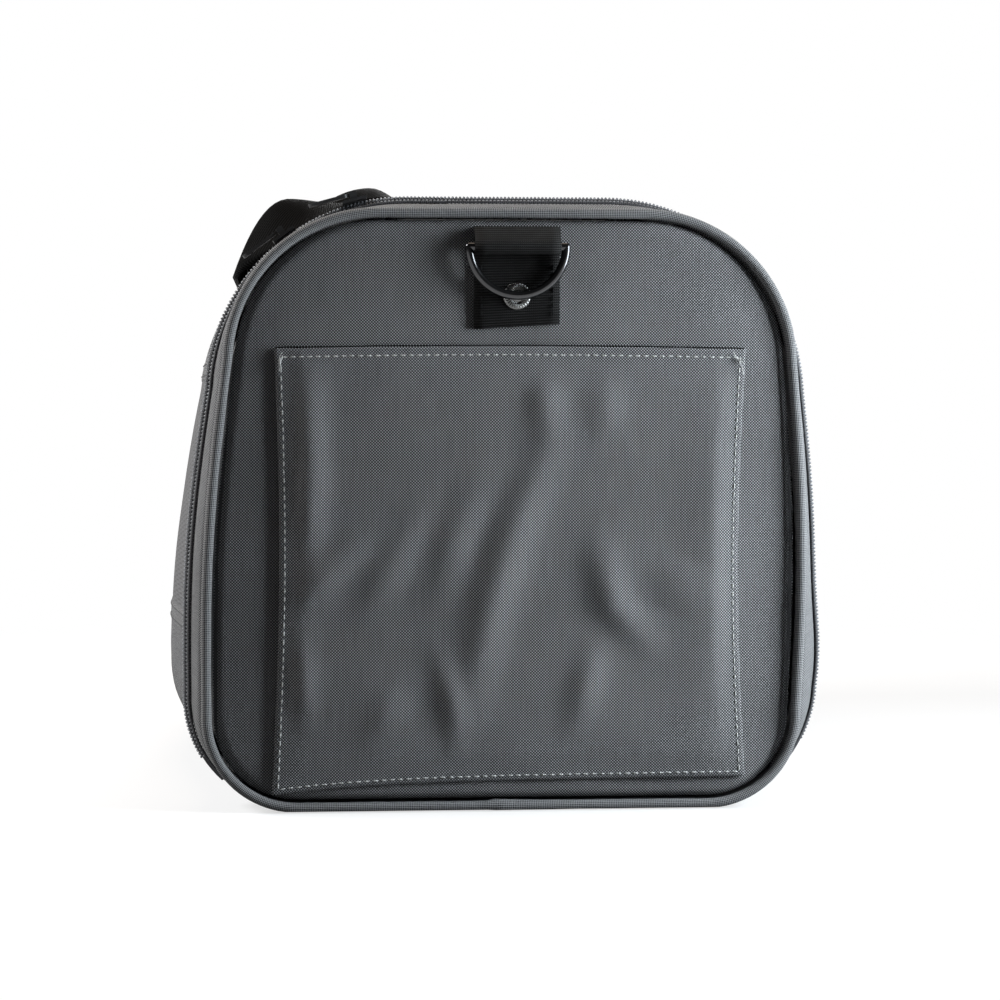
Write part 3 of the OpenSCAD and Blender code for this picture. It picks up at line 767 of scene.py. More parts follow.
def pocket_spots(a, b):
    """Flat place of a point of the pocket."""
    left = POCKET_LEFT - LEFT_SPLAY * (1 - b) + LEFT_BOW * np.sin(np.pi * b)
    right = POCKET_RIGHT - RIGHT_BOW * np.sin(np.pi * b)
    low = between(POCKET_LOW_RIGHT, POCKET_LOW_LEFT, np.exp(-a / LOW_TURN))
    top = POCKET_TOP + TOP_BOW * np.sin(np.pi * a)
    return stack(between(left, right, a), between(low, top, b))


def on_pocket(a, b, proud=0.0):
    a, b = np.broadcast_arrays(np.asarray(a, float), np.asarray(b, float))
    spots = pocket_spots(a.ravel(), b.ravel())
    height = pocket_height(spots, a.ravel(), b.ravel()) + CLOTH + proud
    y = CROWN_SHARE * crowned(spots[:, 0]) - FACE_Y - height
    return stack(spots[:, 0], y, spots[:, 1]).reshape(*a.shape, 3)


shares = np.linspace(0, 1, POCKET_STEPS)
pocket_points = on_pocket(shares, shares[:, None])
pocket = grid_mesh("pocket_sheet", pocket_points, pocket_points[..., [0, 2]], charcoal)
thicken(pocket, CLOTH)
belongs(pocket, "door", "shell_fabric", "slip_pocket")
print("pocket stands out", round((-pocket_points[..., 1].min() - FACE_Y) / MM, 1), "mm")

# %% [markdown]
# ## Stitching
# The pocket is sewn with thick light grey thread, and each stitch shows in the photograph as a
# short plump dash. A row of stitches is one mesh of small spindles, laid along a line at a fixed
# pitch, with both ends of each sunk into the cloth. A little unevenness keeps the row from
# looking printed. Loose threads are fine tubes of the same yarn.

# %% Thread and rows of stitches
THREAD_R, FINE_R, STITCH_PITCH, FINE_PITCH = mm(0.34, 0.25, 3.6, 3)
STITCH_FILL, STITCH_SIDES, THREAD_SIDES = 0.78, 6, 5
STITCH_DRIFT, STITCH_SWAY, STITCH_FAT = 0.06, 0.25, 0.12
STITCH_BELLY = np.array([0.25, 0.85, 1.0, 0.85, 0.25])
STITCH_LIFT = np.array([-0.6, 0.35, 0.6, 0.35, -0.6])
THREAD_REF = (0.3, 0.8, 0.52)


def spun(name, colour, gloss=0.6, shine=0.4):
    """Twisted thread: slanting light and dark bands along the stitch."""
    material, tree, shader = new_material(
        name, Roughness=gloss, Sheen_Weight=0.5 * shine, Specular_IOR_Level=shine)
    axes = map_axes(tree)
    twist = calc(tree, "ADD", times(tree, axes[0], 6000.0), times(tree, axes[1], 3000.0))
    ply = calc(tree, "SINE", twist)
    paint(tree, shader, scaled(colour, 0.45), colour, stretch(tree, ply, -1.0, 0.6))
    bump(tree, shader, ply, 0.5, 0.1 * MM)
    return material


def stitches(name, line, out, material, pitch=STITCH_PITCH, radius=THREAD_R):
    """One mesh of stitches along a line of points; out holds each point's outward direction."""
    along, out = run_along(line), np.broadcast_to(out, line.shape)
    count = max(1, int(along[-1] / pitch))
    turn = ring(STITCH_SIDES)
    reach = np.linspace(-0.5, 0.5, len(STITCH_BELLY)) * STITCH_FILL * pitch
    points, uvs = [], []
    for k in range(count):
        wobble = noise.noise(Vector((k * 0.71, along[-1] * 9, 0.3)))
        s = (k + 0.5 + STITCH_DRIFT * wobble) * along[-1] / count + reach
        centre, up = at_lengths(s, along, line), unit(at_lengths(s, along, out))
        side = np.cross(unit(centre[-1] - centre[0]), up)
        centre += up * (STITCH_LIFT * radius)[:, None] + side * (STITCH_SWAY * wobble * radius)
        plump = radius * STITCH_BELLY * (1 + STITCH_FAT * wobble)
        points.append(tube(centre, plump, side, up, turn))
        uvs.append(stack(s[:, None], radius * turn))
    return grid_mesh(name, np.array(points), np.array(uvs), material)


def threads(name, lines, radius, material):
    """Fine tubes along lines with equal numbers of points, as one mesh."""
    turn = ring(THREAD_SIDES)
    points = [tube(line, radius, *across_line(line, THREAD_REF), turn) for line in lines]
    uvs = [stack(run_along(line)[:, None], radius * turn) for line in lines]
    return grid_mesh(name, np.array(points), np.array(uvs), material)


grey_thread = spun("grey_thread", (0.58, 0.58, 0.565, 1))
black_thread = spun("black_thread", (0.010, 0.010, 0.011, 1), shine=0.05)
charcoal_thread = spun("charcoal_thread", (0.11, 0.11, 0.113, 1), shine=0.1)
print("threads:", grey_thread.name, black_thread.name, charcoal_thread.name)

# %% [markdown]
# ## Hem, seams and loose threads of the pocket
# The stitch rows run a few millimetres inside the pocket's four edges, and a black thread along
# the edge of the hem is a painted shadow: a dark line standing in for the shade under the hem's
# edge. At both upper corners the seam is tacked back and forth, and the thread ends were never
# trimmed, so short loose threads stick out there.

# %% Pocket stitching
SEAM_SIDE, SEAM_LOW, SEAM_TOP, SEAM_POINTS = 0.012, 0.0115, 0.98, 120
OUT_FRONT, OUT_UP = np.array([0.0, -1.0, 0.0]), np.array([0.0, 0.0, 1.0])
rising = np.linspace(0.0105, SEAM_TOP, SEAM_POINTS)
crossing = np.linspace(SEAM_SIDE, 1 - SEAM_SIDE, SEAM_POINTS)
seam_rows = {
    "left": on_pocket(SEAM_SIDE, rising), "right": on_pocket(1 - SEAM_SIDE, rising),
    "low": on_pocket(crossing, SEAM_LOW), "top": on_pocket(crossing, SEAM_TOP),
}
for word, row in seam_rows.items():
    belongs(stitches(f"pocket_seam_{word}", row, OUT_FRONT, grey_thread), "door", "binding")
print("pocket seams:", len(seam_rows), "rows")

# %% [markdown]
# A loose thread starts at its corner, runs out in its own direction and curls on the way. Its figures
# are in millimetres, and noise with a fixed place makes each one different.

# %% Hem edge and loose threads
LOOSE_R, LOOSE_COUNT, LOOSE_POINTS, LOOSE_LONG, TACK_UP = 0.2 * MM, 7, 8, 1.5, 0.975
HEM_R, HEM_BACK, HEM_SHARE = 0.32 * MM, -0.5 * MM, 0.004
loose_ends = []
for corner, lean in ((SEAM_SIDE, -1), (0.984, 1)):
    for k in range(LOOSE_COUNT):
        swing = noise.noise(Vector((k * 1.7, corner * 10, 0.5)))
        t = np.linspace(0, 1, LOOSE_POINTS)[:, None]
        root = np.array([0.3 * (k - 3), -0.3, 0.25 * (k - 3)])
        reach = np.array([lean * (-1.2 + 2.2 * k / 6 + swing), -0.9 - 0.5 * abs(swing),
                          2.6 - 1.1 * k + 2 * swing])
        curl = np.array([0.8 * math.sin(k), -0.7, 0.5]) * np.sin(np.pi * t)
        loose_ends.append(on_pocket(corner, TACK_UP) + (root + LOOSE_LONG * reach * t + curl) * MM)
belongs(threads("pocket_loose_threads", loose_ends, LOOSE_R, grey_thread), "door", "binding")
# Black thread just above the hem's edge: a painted shadow line for the shade under the hem.
hem = on_pocket(np.linspace(HEM_SHARE, 1 - HEM_SHARE, SEAM_POINTS), 1.0, HEM_BACK)
belongs(threads("pocket_hem_edge", [hem + HEM_R * OUT_UP], HEM_R, black_thread), "door", "binding")
print("loose threads:", len(loose_ends))

# %% [markdown]
# ## Ribbed webbing
# The tabs and handles are black woven webbing. Its thick weft makes cross ribs about a millimetre
# apart, and its warp shows as fine lines along the tape. Both go into the bump. The ribs' tops are
# painted slightly lighter, a painted highlight where they catch the light, and slow noise varies
# their tone as dust does. The loop of a tab is a lighter copy of the webbing: a painted highlight
# for the top light that falls on it.

# %% Webbing finish
RIB_PITCH, WARP_PITCH = mm(1.1, 0.9)


def ribbed(name, colour):
    material, tree, shader = new_material(
        name, Roughness=0.55, Sheen_Weight=0.01, Sheen_Roughness=0.35,
        Specular_IOR_Level=0.1, IOR=1.15)
    axes = map_axes(tree)
    warp = calc(tree, "SINE", times(tree, axes[0], 2 * math.pi / WARP_PITCH))
    weft = calc(tree, "ADD", times(tree, axes[1], 2 * math.pi / RIB_PITCH), times(tree, warp, 0.5))
    height = calc(tree, "ADD", calc(tree, "SINE", weft), times(tree, warp, 0.3))
    dust = stretch(tree, cloud(tree, 8 * MM, 3.0), 0.2, 0.8, 0.7, 1.15)
    # Rib tops lighter than their hollows: a painted highlight; the cloud noise adds dust.
    shade = times(tree, stretch(tree, height, -1.0, 1.1), dust)
    paint(tree, shader, scaled(colour, 0.25), colour, shade)
    bump(tree, shader, height, 0.7, 0.16 * RIB_PITCH)
    return material


def ribbon(name, path, across, width, thick, material):
    """Webbing along a line of points with one width direction; its outer face is on the line."""
    offsets = np.linspace(-0.5, 0.5, 9) * width
    points = path[:, None] + offsets[:, None] * np.asarray(across)
    uv = stack(offsets, run_along(path)[:, None])
    return thicken(grid_mesh(name, points, uv, material), thick)


black_webbing = ribbed("black_webbing", (0.025, 0.0246, 0.0244, 1))
# A lighter copy of the black webbing for the tabs' loops: a painted highlight for the top light.
faded_webbing = ribbed("faded_webbing", (0.038, 0.0375, 0.037, 1))
print("finishes:", black_webbing.name, faded_webbing.name)

# %% [markdown]
# ## Black-nickel hardware
# The rings, sliders, pulls and wires stay as they are in the construction model and only get a
# better material. The metal is dark and glossy, with smudges in its gloss and small worn specks.

# %% Black-nickel finish
def plated(name, colour, gloss, wear=0.35):
    material, tree, shader = new_material(name, Metallic=0.9, Coat_Weight=0.35, Coat_Roughness=0.08)
    smudge = cloud(tree, 6 * MM, 4.0)
    worn = stretch(tree, cloud(tree, 1.2 * MM, 3.0), 0.62, 0.75)
    paint(tree, shader, colour, scaled(colour, 2.4), times(tree, worn, wear))
    uneven = stretch(tree, smudge, 0.25, 0.75, 0.7 * gloss, 1.5 * gloss)
    fill(tree, shader.inputs["Roughness"], uneven)
    bump(tree, shader, smudge, 0.05, 0.3 * MM)
    return material


def refinish(material, *names):
    for solid in bpy.data.objects:
        if solid.type == "MESH" and solid.name.split(".")[0] in names:
            solid.data.materials.clear()
            solid.data.materials.append(material)


black_nickel = plated("black_nickel", (0.055, 0.055, 0.057, 1), 0.17)
rivet_nickel = plated("rivet_nickel", (0.11, 0.11, 0.108, 1), 0.12, 0.05)
slider_black = moulded("slider_black", (0.012, 0.012, 0.013, 1), 0.45)
refinish(black_nickel, "front_d_ring", "rear_d_ring")
refinish(slider_black, "upper_slider", "lower_slider", "upper_pull", "lower_pull")
print("finishes:", black_nickel.name, rivet_nickel.name, slider_black.name)

# %% [markdown]
# ## Ring tabs and rivets
# A tab is one strip of webbing: a flat ply on the panel, and a loop that comes from its top round
# the ring's straight bar. Its lower end is twisted a little, as in the photograph.

# %% Tabs at both ends
TAB_W, TAB_TOP, TAB_LOW, PLY = mm(37, 252.5, 209.5, 1.6)
RING_Y, RING_Z, LOOP_R, LOOP_TALL = mm(227.6, 243.5, 3.9, 3.1)
TAB_TWIST, TAB_BELLY, TAB_OFF, FLAP_THIN = 2.2 * MM, 0.5 * MM, 0.3 * MM, 0.9
TAB_SEAM_IN, TAB_SEAM_OUT, TAB_SEAM_LOW, TAB_SEAM_HIGH = mm(3, 0.9, 4, 7)
TABS = (("front", -1, 4.5 * MM, "door"), ("rear", 1, 0.0, "shell"))
TAB_Y, TAB_TALL = FACE_Y + PLY, TAB_TOP - TAB_LOW


def ring_tab(name, direction, x):
    """Both parts of a tab, centred on x, at the end where y has this sign."""
    sideways = np.array([-direction, 0.0, 0.0])
    heights = np.linspace(TAB_LOW, TAB_TOP, 40)
    belly = TAB_BELLY * np.sin(np.pi * (heights - TAB_LOW) / TAB_TALL) ** 2
    path = stack(x, direction * (TAB_Y + TAB_OFF + belly), heights)
    ply = ribbon(name + "_ply", path, sideways, TAB_W, PLY, black_webbing)
    for spot in ply.data.vertices:
        low = 1 - min(1, (spot.co.z - TAB_LOW) / TAB_TALL)
        spot.co.z += direction * -TAB_TWIST * low * (spot.co.x - x) / TAB_W
    turn = np.radians(np.linspace(50, -200, 36))
    tall = np.where(turn > 0, LOOP_R, LOOP_TALL)
    loop = stack(x, direction * (RING_Y + LOOP_R * np.cos(turn)), RING_Z + tall * np.sin(turn))
    lead = np.array([[x, direction * TAB_Y, TAB_TOP - 0.4 * MM],
                     [x, direction * (TAB_Y + 2.2 * MM), TAB_TOP - 0.2 * MM]])
    path = np.concatenate([lead, loop])[::-1]
    # The loop takes the lighter webbing: a painted highlight for the top light on it.
    flap = ribbon(name + "_flap", path, sideways, TAB_W, PLY * FLAP_THIN, faded_webbing)
    return ply, flap


for word, direction, x, body in TABS:
    ply, flap = ring_tab(f"{word}_tab", direction, x)
    belongs(ply, body, "webbing", f"{word}_ring_tab")
    belongs(flap, body, "webbing")
    heights = np.linspace(TAB_LOW + TAB_SEAM_LOW, RING_Z - TAB_SEAM_HIGH, 20)
    seam_y = direction * (TAB_Y + TAB_SEAM_OUT)
    for side, hand in ((-1, "left"), (1, "right")):
        line = stack(x + side * (TAB_W / 2 - TAB_SEAM_IN), seam_y, heights)
        name = f"{word}_tab_seam_{hand}"
        row = stitches(name, line, -direction * OUT_FRONT, black_thread, FINE_PITCH)
        belongs(row, body, "webbing")
print("tabs", round(TAB_W, 3), "m wide")

# %% [markdown]
# The rivet is turned as a profile round its axis, from the middle of its head to its rim, with
# fine radial grooves cut in the head.

# %% Rivets with grooved heads
RIVET_Z, RIVET_R, RIVET_PROUD, RIVET_FOOT = mm(222.7, 6.2, 2.2, 0.2)
HEAD = ((0.0, 0.98), (0.16, 1.0), (0.30, 0.96), (0.36, 0.55), (0.44, 0.50), (0.50, 0.62),
        (0.60, 0.66), (0.72, 0.64), (0.84, 0.58), (0.93, 0.44), (1.0, 0.2), (1.0, 0.0))
HEAD_SCALE, GROOVES, GROOVE_CUT, GROOVED_FROM, GROOVED_TO = 0.92, 28, 0.14, 0.48, 0.95


def rivet(name, direction, x):
    turn = ring(4 * GROOVES)
    rows = []
    for share, rise in HEAD:
        grooved = GROOVED_FROM < share < GROOVED_TO
        rise = rise * HEAD_SCALE + GROOVE_CUT * np.sin(GROOVES * turn) * grooved
        rows.append(stack(x + share * RIVET_R * np.cos(turn),
                          direction * (TAB_Y + RIVET_FOOT + rise * RIVET_PROUD),
                          RIVET_Z + share * RIVET_R * np.sin(turn)))
    points = np.array(rows)[:, ::direction]
    return grid_mesh(name, points, points[..., [0, 2]], rivet_nickel)


for word, direction, x, body in TABS:
    belongs(rivet(f"{word}_rivet_head", direction, x), body, "black_nickel", f"{word}_rivet")
print("rivets with", GROOVES, "grooves each")

# %% [markdown]
# ## Body cloth
# The body is a soft tube of four panels: bottom, two sides and top, seamed along the middle of
# each corner. Between the two stiff ends the sides swell outward, most near the floor. One
# function gives the place of any point of the tube from its station along the bag and its place
# round the outline, so panels, nets, bindings and seams all lie on the same cloth. Slow noise
# adds the shallow dents of a soft wall.

# %% Place of a point on the body
SWELL_Y = 186.5 * MM
SWELL_HEIGHTS = np.array([0, 57, 97, 143, 190, 230, 264]) * MM
SWELL_REACH = np.array([15.5, 16.8, 15, 13.2, 10.8, 11.5, 11.5]) * MM
# Places round the outline: the four seams, and where the walls start and stop swelling.
CORNERS = (35, 107, 171, 243)
ROUND = np.arange(LOOP_POINTS + 1)
SIDE_SHARE = np.interp(ROUND, (0, 23, 119, 159, 255, LOOP_POINTS), (0, 1, 1, -1, -1, 0))
DENT, DENT_FROM, DENT_RUN, DENT_LOW = mm(1.3, 8, 60, 30)
DENT_MOST, DENT_ALONG, DENT_ROUND = 0.3, 13, 15


def body_at(y, place, proud=0.0):
    """Points and outward directions on the body, at stations y and places round the outline."""
    y, place = np.broadcast_arrays(np.asarray(y, float), np.asarray(place, float) % LOOP_POINTS)
    x, z, nx, nz = (np.interp(place, ROUND, column) for column in BODY_LINE.T)
    full = np.cos(np.pi / 2 * np.clip(np.abs(y) / SWELL_Y, 0, 1)) ** 2
    x = x + np.interp(place, ROUND, SIDE_SHARE) * np.interp(z, SWELL_HEIGHTS, SWELL_REACH) * full
    held = np.clip((SWELL_Y + DENT_FROM - np.abs(y)) / DENT_RUN, 0, 1) * np.clip(z / DENT_LOW, 0, 1)
    dents = rough(y * DENT_ALONG, x * DENT_ROUND, z * DENT_ROUND)
    grow = proud + DENT * held * np.minimum(dents, DENT_MOST)
    out = stack(nx, 0, nz)
    return stack(x, y, z) + grow[..., None] * out, out


print("walls swell up to", round(SWELL_REACH.max() / MM, 1), "mm")

# %% [markdown]
# The top and bottom panels are plain grids on that tube, with black lining as their second material.

# %% Top and bottom panels
WALL, PANEL_LEN, PANEL_STEPS = 2.6 * MM, 2 * ZIP_Y, 90
lining = twill("black_lining", (0.035, 0.035, 0.038, 1), 0.7 * MM)
for word, first, last in (("top", *CORNERS[1:3]), ("bottom", CORNERS[3], CORNERS[0] + LOOP_POINTS)):
    places = np.arange(first, last + 1)
    y = np.linspace(-ZIP_Y, ZIP_Y, PANEL_STEPS)[::-1, None]
    points = body_at(y, places)[0]
    uv = stack(run_along(points[PANEL_STEPS // 2 - 1]), y)
    made = thicken(grid_mesh(f"{word}_cloth", points, uv, charcoal, lining), WALL, inside=True)
    girth = run_along(BODY_LINE[places % LOOP_POINTS, :2])[-1]
    belongs(made, "shell", "shell_fabric", f"{word}_panel")
    print(made.name, round(girth, 3), "m across")

# %% [markdown]
# ## Side panels with their windows
# A side panel is a frame of cloth round its window. It is built as rings that grow from the
# window's rounded edge to the panel's straight edges, so the hole is clean and the mesh bends
# with the bag.

# %% Shapes of the windows
WINDOW_HALF, WINDOW_LOW, WINDOW_HIGH, WINDOW_R = mm(140, 78, 188, 24)
WINDOW_MID, WINDOW_HALF_Z = (WINDOW_LOW + WINDOW_HIGH) / 2, (WINDOW_HIGH - WINDOW_LOW) / 2
RING_POINTS, CORNER_POINTS = 240, 24


def rounded(half_x, grow=0.0):
    """Loop of a window's rounded rectangle, evenly spaced, from its right middle anticlockwise."""
    r = WINDOW_R + grow
    x, y = half_x + grow - r, WINDOW_HALF_Z + grow - r
    spots = []
    for cx, cy, start in ((x, y, 0), (-x, y, 90), (-x, -y, 180), (x, -y, 270)):
        a = np.radians(start + np.linspace(0, 90, CORNER_POINTS))
        spots.append(stack(cx + r * np.cos(a), cy + r * np.sin(a)))
    spots = closed(np.concatenate(spots))
    along = run_along(spots)
    return at_lengths(np.linspace(0, along[-1], RING_POINTS + 1), along, spots)


def squared(loop, half_x, half_y):
    """Where rays through a loop's points meet a rectangle, with its corners kept sharp."""
    reach = np.min(np.array([half_x, half_y]) / np.maximum(np.abs(loop), 1e-9), axis=1)
    square = loop * reach[:, None]
    for corner in ((half_x, half_y), (-half_x, half_y), (-half_x, -half_y), (half_x, -half_y)):
        square[np.argmin(np.linalg.norm(square - corner, axis=1))] = corner
    square[-1] = square[0]
    return square


def wall_places(side):
    """Places round the outline that belong to the right (1) or left (-1) wall."""
    first, last = CORNERS[:2] if side > 0 else CORNERS[2:]
    return np.arange(first, last + 1)


def round_place(z, side):
    """Place round the outline of a height on a wall."""
    places = wall_places(side)
    return np.interp(side * z, side * BODY_LINE[places, 1], places)


print("side windows", round(2 * WINDOW_HALF, 3), "by", round(2 * WINDOW_HALF_Z, 3), "m")

# %% [markdown]
# The rings are laid out flat first, with the place round the outline as height, and only then put on
# the body, so the panel follows the swollen wall without a seam.

# %% Side panels
SIDES = ((1, "right"), (-1, "left"))
SIDE_RINGS = np.linspace(0, 1, 26)[:, None, None]
window_loop = rounded(WINDOW_HALF)
for side, word in SIDES:
    places = wall_places(side)
    middle = (places[0] + places[-1]) / 2
    inner_place = round_place(window_loop[:, 1] + WINDOW_MID, side)
    flat_in = stack(window_loop[:, 0], (inner_place - middle) * MM)
    flat_out = squared(flat_in, ZIP_Y, (places[-1] - places[0]) / 2 * MM)
    flat = between(flat_in, flat_out, SIDE_RINGS)
    place = flat[..., 1] / MM + middle
    points = body_at(flat[..., 0], place)[0]
    girth = run_along(BODY_LINE[places, :2])
    uv = stack(np.interp(place, places, girth), points[..., 1])
    wall = grid_mesh(f"{word}_side_cloth", points[::-side], uv[::-side], charcoal, lining)
    thicken(wall, WALL, inside=True)
    belongs(wall, "shell", "shell_fabric", f"{word}_side_panel")
    print(wall.name, round(girth[-1], 3), "m across")

# %% [markdown]
# ## Net and bindings of the windows
# The windows are knitted net, strong enough for claws, with open diamond cells. The net is a real
# lattice: a slanted grid of faces cut to the window, turned into strands by a Wireframe modifier.
# A window is given by a function that turns flat places round its middle into points on its wall.

# %% Nets
NET_CELL, NET_RISE, STRAND, NET_LAP, NET_COVER = 3.0 * MM, 0.575, 0.7 * MM, 3 * MM, 0.7
SIDE_NET_BACK, REAR_NET_BACK = mm(-0.6, -3)
net_yarn = spun("net_yarn", (0.15, 0.15, 0.155, 1), 0.5)


def on_side(side):
    """Places a window's flat rows on a wall, with outward directions."""
    def place_of(flat, proud):
        return body_at(flat[:, 0], round_place(flat[:, 1] + WINDOW_MID, side), proud)
    return place_of


def net(name, half_x, back, place_of):
    """Lattice inside a window; yarn covers a share of its cut, and the rest is open cells."""
    half_x, half_y, r = half_x + NET_LAP, WINDOW_HALF_Z + NET_LAP, WINDOW_R
    step, rise = NET_CELL, NET_RISE * NET_CELL
    count_x, count_y = int(half_x / step) + 2, int(half_y / rise) + 2
    corners, faces = {}, []
    for i in range(-count_x, count_x + 1):
        for j in range(-count_y, count_y + 1):
            cx, cy = (i + 0.5 * (j % 2)) * step, j * rise
            dx, dy = max(0, abs(cx) - (half_x - r)), max(0, abs(cy) - (half_y - r))
            if abs(cx) > half_x or abs(cy) > half_y or math.hypot(dx, dy) > r:
                continue
            diamond = [(cx + step / 2, cy), (cx, cy + rise), (cx - step / 2, cy), (cx, cy - rise)]
            keys = [(round(a, 6), round(b, 6)) for a, b in diamond]
            faces.append([corners.setdefault(key, len(corners)) for key in keys])
    flat = np.array(list(corners))
    made = mesh_object(name, place_of(flat, back)[0], np.array(faces), flat, net_yarn)
    wires = made.modifiers.new("strands", "WIREFRAME")
    wires.thickness, wires.use_even_offset, wires.use_boundary = STRAND, False, True
    belongs(made, "shell", "mesh", name.replace("net", "mesh_window"))
    print(name, len(faces), "cells")


for side, word in SIDES:
    net(f"{word}_net", WINDOW_HALF, SIDE_NET_BACK, on_side(side))

# %% [markdown]
# A binding of the bias-cut weave, sewn with two rows, covers the raw edge of the cloth. Its
# profile is a list of steps out from the window's edge, each with its height over the wall, and
# it is swept round the window.

# %% Window bindings
BIND_SHAPE = np.array([(-0.5, -3.0), (-0.8, -0.8), (-0.3, 0.0), (0.6, 0.25), (3.5, 0.3), (6.5, 0.3),
                       (8.6, 0.25), (9.0, 0.0)]) * MM
BIND_SEAMS, BIND_SEAM_OUT = ((1.8 * MM, "inner"), (7.2 * MM, "outer")), 0.3 * MM


def window_binding(word, half_x, place_of, way):
    """Binding with its two seams; way is 1 or -1, so that its outer face looks out."""
    points = np.array([place_of(rounded(half_x, grow)[::way], proud)[0]
                       for grow, proud in BIND_SHAPE])
    uv = stack(run_along(points[:, 0])[:, None], run_along(points[3]))
    made = grid_mesh(f"{word}_binding", points, uv, charcoal_bias)
    belongs(made, "shell", "binding", f"{word}_window_binding")
    for inset, row in BIND_SEAMS:
        line, out = place_of(rounded(half_x, inset), BIND_SEAM_OUT)
        name = f"{word}_binding_{row}_seam"
        seam = stitches(name, line, out, charcoal_thread, FINE_PITCH, FINE_R)
        belongs(seam, "shell", "binding")
    print(made.name, round(run_along(points[3])[-1], 3), "m round")


for side, word in SIDES:
    window_binding(word, WINDOW_HALF, on_side(side), side)

# %% [markdown]
# ## Rear end
# The rear is the door's twin without a zip or pocket, and it has a window. Its padded face is
# drawn from the piping in to the window's edge, with the same groove and the same rolled foam but
# no crown, and the net and the binding are made as on the sides.

# %% Rear face, net and binding
REAR_HALF, REAR_THICK, REAR_OUT = mm(75, 3, 0.5)


def toward(loop, spots, centre):
    """Points of a loop in the same directions from a centre as the given spots."""
    angles, turned = (np.arctan2(*(rows - centre).T[::-1]) for rows in (loop, spots))
    return stack(*(np.interp(turned, angles, column, period=2 * np.pi) for column in loop.T))


def on_rear(flat, proud):
    points = stack(flat[:, 0], FACE_Y + REAR_OUT + proud, flat[:, 1] + WINDOW_MID)
    return points, -OUT_FRONT


rear_middle = np.array([0, WINDOW_MID])
rear_inner = toward((rounded(REAR_HALF) + rear_middle)[:-1], outline(END)[:, :2], rear_middle)
rear_face = end_face("rear_face", 1, rear_inner, fall=np.zeros_like)
thicken(rear_face, REAR_THICK)
belongs(rear_face, "shell", "shell_fabric", "rear_panel")
net("rear_net", REAR_HALF, REAR_NET_BACK, on_rear)
window_binding("rear", REAR_HALF, on_rear, -1)
print("rear face:", len(rear_face.data.polygons), "faces")

# %% [markdown]
# ## Sill and door lining
# Under the door the body goes on as a short sill, to which the door's lower edge is sewn as a
# cloth hinge. The inside of the door is covered by plain black lining, which shows only when the
# door is down. It is made of rings drawn in from the outline, as the door's face is.

# %% Sill
SILL_FLAT, SILL_BACK, SILL_OUT, SILL_THICK = mm(6, 2.9, 2.6, 1.5)
SILL_ORDER = np.arange(CORNERS[3], CORNERS[0] + LOOP_POINTS + 1) % LOOP_POINTS
back, front, hinge = band_points([(-ZIP_Y, BODY, 0.0), (-ZIP_Y - SILL_FLAT, BODY, 0.0),
                                  (-PIPE_Y + SILL_BACK, END, SILL_OUT)])
sill_rows = [between(back, front, t) for t in np.linspace(0, 1, 4)[:-1]]
sill_rows += [between(front, hinge, t) for t in np.linspace(0, 1, 10)]
sill_points = np.array(sill_rows)[:, SILL_ORDER]
sill = grid_mesh("sill_cloth", sill_points, band_uv(sill_points), charcoal, lining)
thicken(sill, SILL_THICK, inside=True)
run_along(sill_points[:, 20])[-1]
run_along(sill_points[3])[-1]
belongs(sill, "shell", "shell_fabric", "front_sill")
print("sill", [round(v, 3) for v in sill.dimensions])

# %% [markdown]
# The lining is one cut of twill. A little slow noise makes it slack.

# %% Door lining
LINING_Y, LINING_SLACK, LINING_THICK = -FACE_Y + 5.9 * MM, 0.5 * MM, 0.8 * MM
LINING_GRAIN = 30
edge_line = closed(outline(END, -PIPE_R))[:, :2]
lining_rows = []
for t in np.linspace(0, 1 - LAST_RING, 31):
    flat = between(edge_line, DOOR_MIDDLE, t)
    slack = LINING_SLACK * min(1, 8 * t) * rough(*flat.T * LINING_GRAIN, 7.0)
    lining_rows.append(stack(flat[:, 0], LINING_Y + slack, flat[:, 1]))
lining_points = np.array(lining_rows)[:, ::-1]
door_back = grid_mesh("door_lining_cloth", lining_points, lining_points[..., [0, 2]], lining)
thicken(door_back, LINING_THICK)
x, z = edge_line.T
belongs(door_back, "door", "lining", "door_lining")

# %% [markdown]
# ## Mat, board and hoops
# A stiff board keeps the floor flat, and a fleece mat lies on it. The mat is a crowned pad: its
# edge is sewn thin, its top swells, and two sewn channels cross it. Its grid goes over the top
# and back underneath, and the two open ends are then filled.

# %% Fleece mat
MAT_EDGE, MAT_ROLL, CHANNEL_HALF = mm(4, 33.6, 6)
MAT_CHANNELS = mm(-62, 62)
MAT_THIN, CHANNEL_DIP, MAT_TUCK, MAT_OFF = mm(8, 3.5, 14, 0.3)
MAT_TUFT, TUFT_GRAIN = 0.5 * MM, 70


def fleecy(name, light, dark):
    material, tree, shader = new_material(
        name, Roughness=0.95, Sheen_Weight=0.5, Sheen_Roughness=0.6)
    tufts = cloud(tree, 2.2 * MM, 4.0)
    paint(tree, shader, dark, light, stretch(tree, tufts, 0.25, 0.7))
    bump(tree, shader, tufts, 0.8, 1.2 * MM)
    return material


fleece = fleecy("fleece", (0.50, 0.48, 0.45, 1), (0.24, 0.23, 0.21, 1))
mat_low, mat_high = (Vector(corner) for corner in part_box("floor_mat"))
mat_middle = (mat_low.x + mat_high.x) / 2
mat_half = (mat_high.x - mat_low.x) / 2 - MAT_EDGE


def mat_top(x, y):
    """Height of the mat's top: low at its sewn rim and in its channels."""
    rim = np.minimum(mat_high.x - MAT_EDGE - np.abs(x - mat_middle), mat_high.y - np.abs(y))
    swell = domed(rim / MAT_ROLL)
    dip = sum(bell((y - c) / CHANNEL_HALF) for c in MAT_CHANNELS)
    tufts = MAT_TUFT * rough(x * TUFT_GRAIN, y * TUFT_GRAIN, 0.0)
    return mat_high.z - MAT_THIN * (1 - swell) - CHANNEL_DIP * dip + tufts * swell


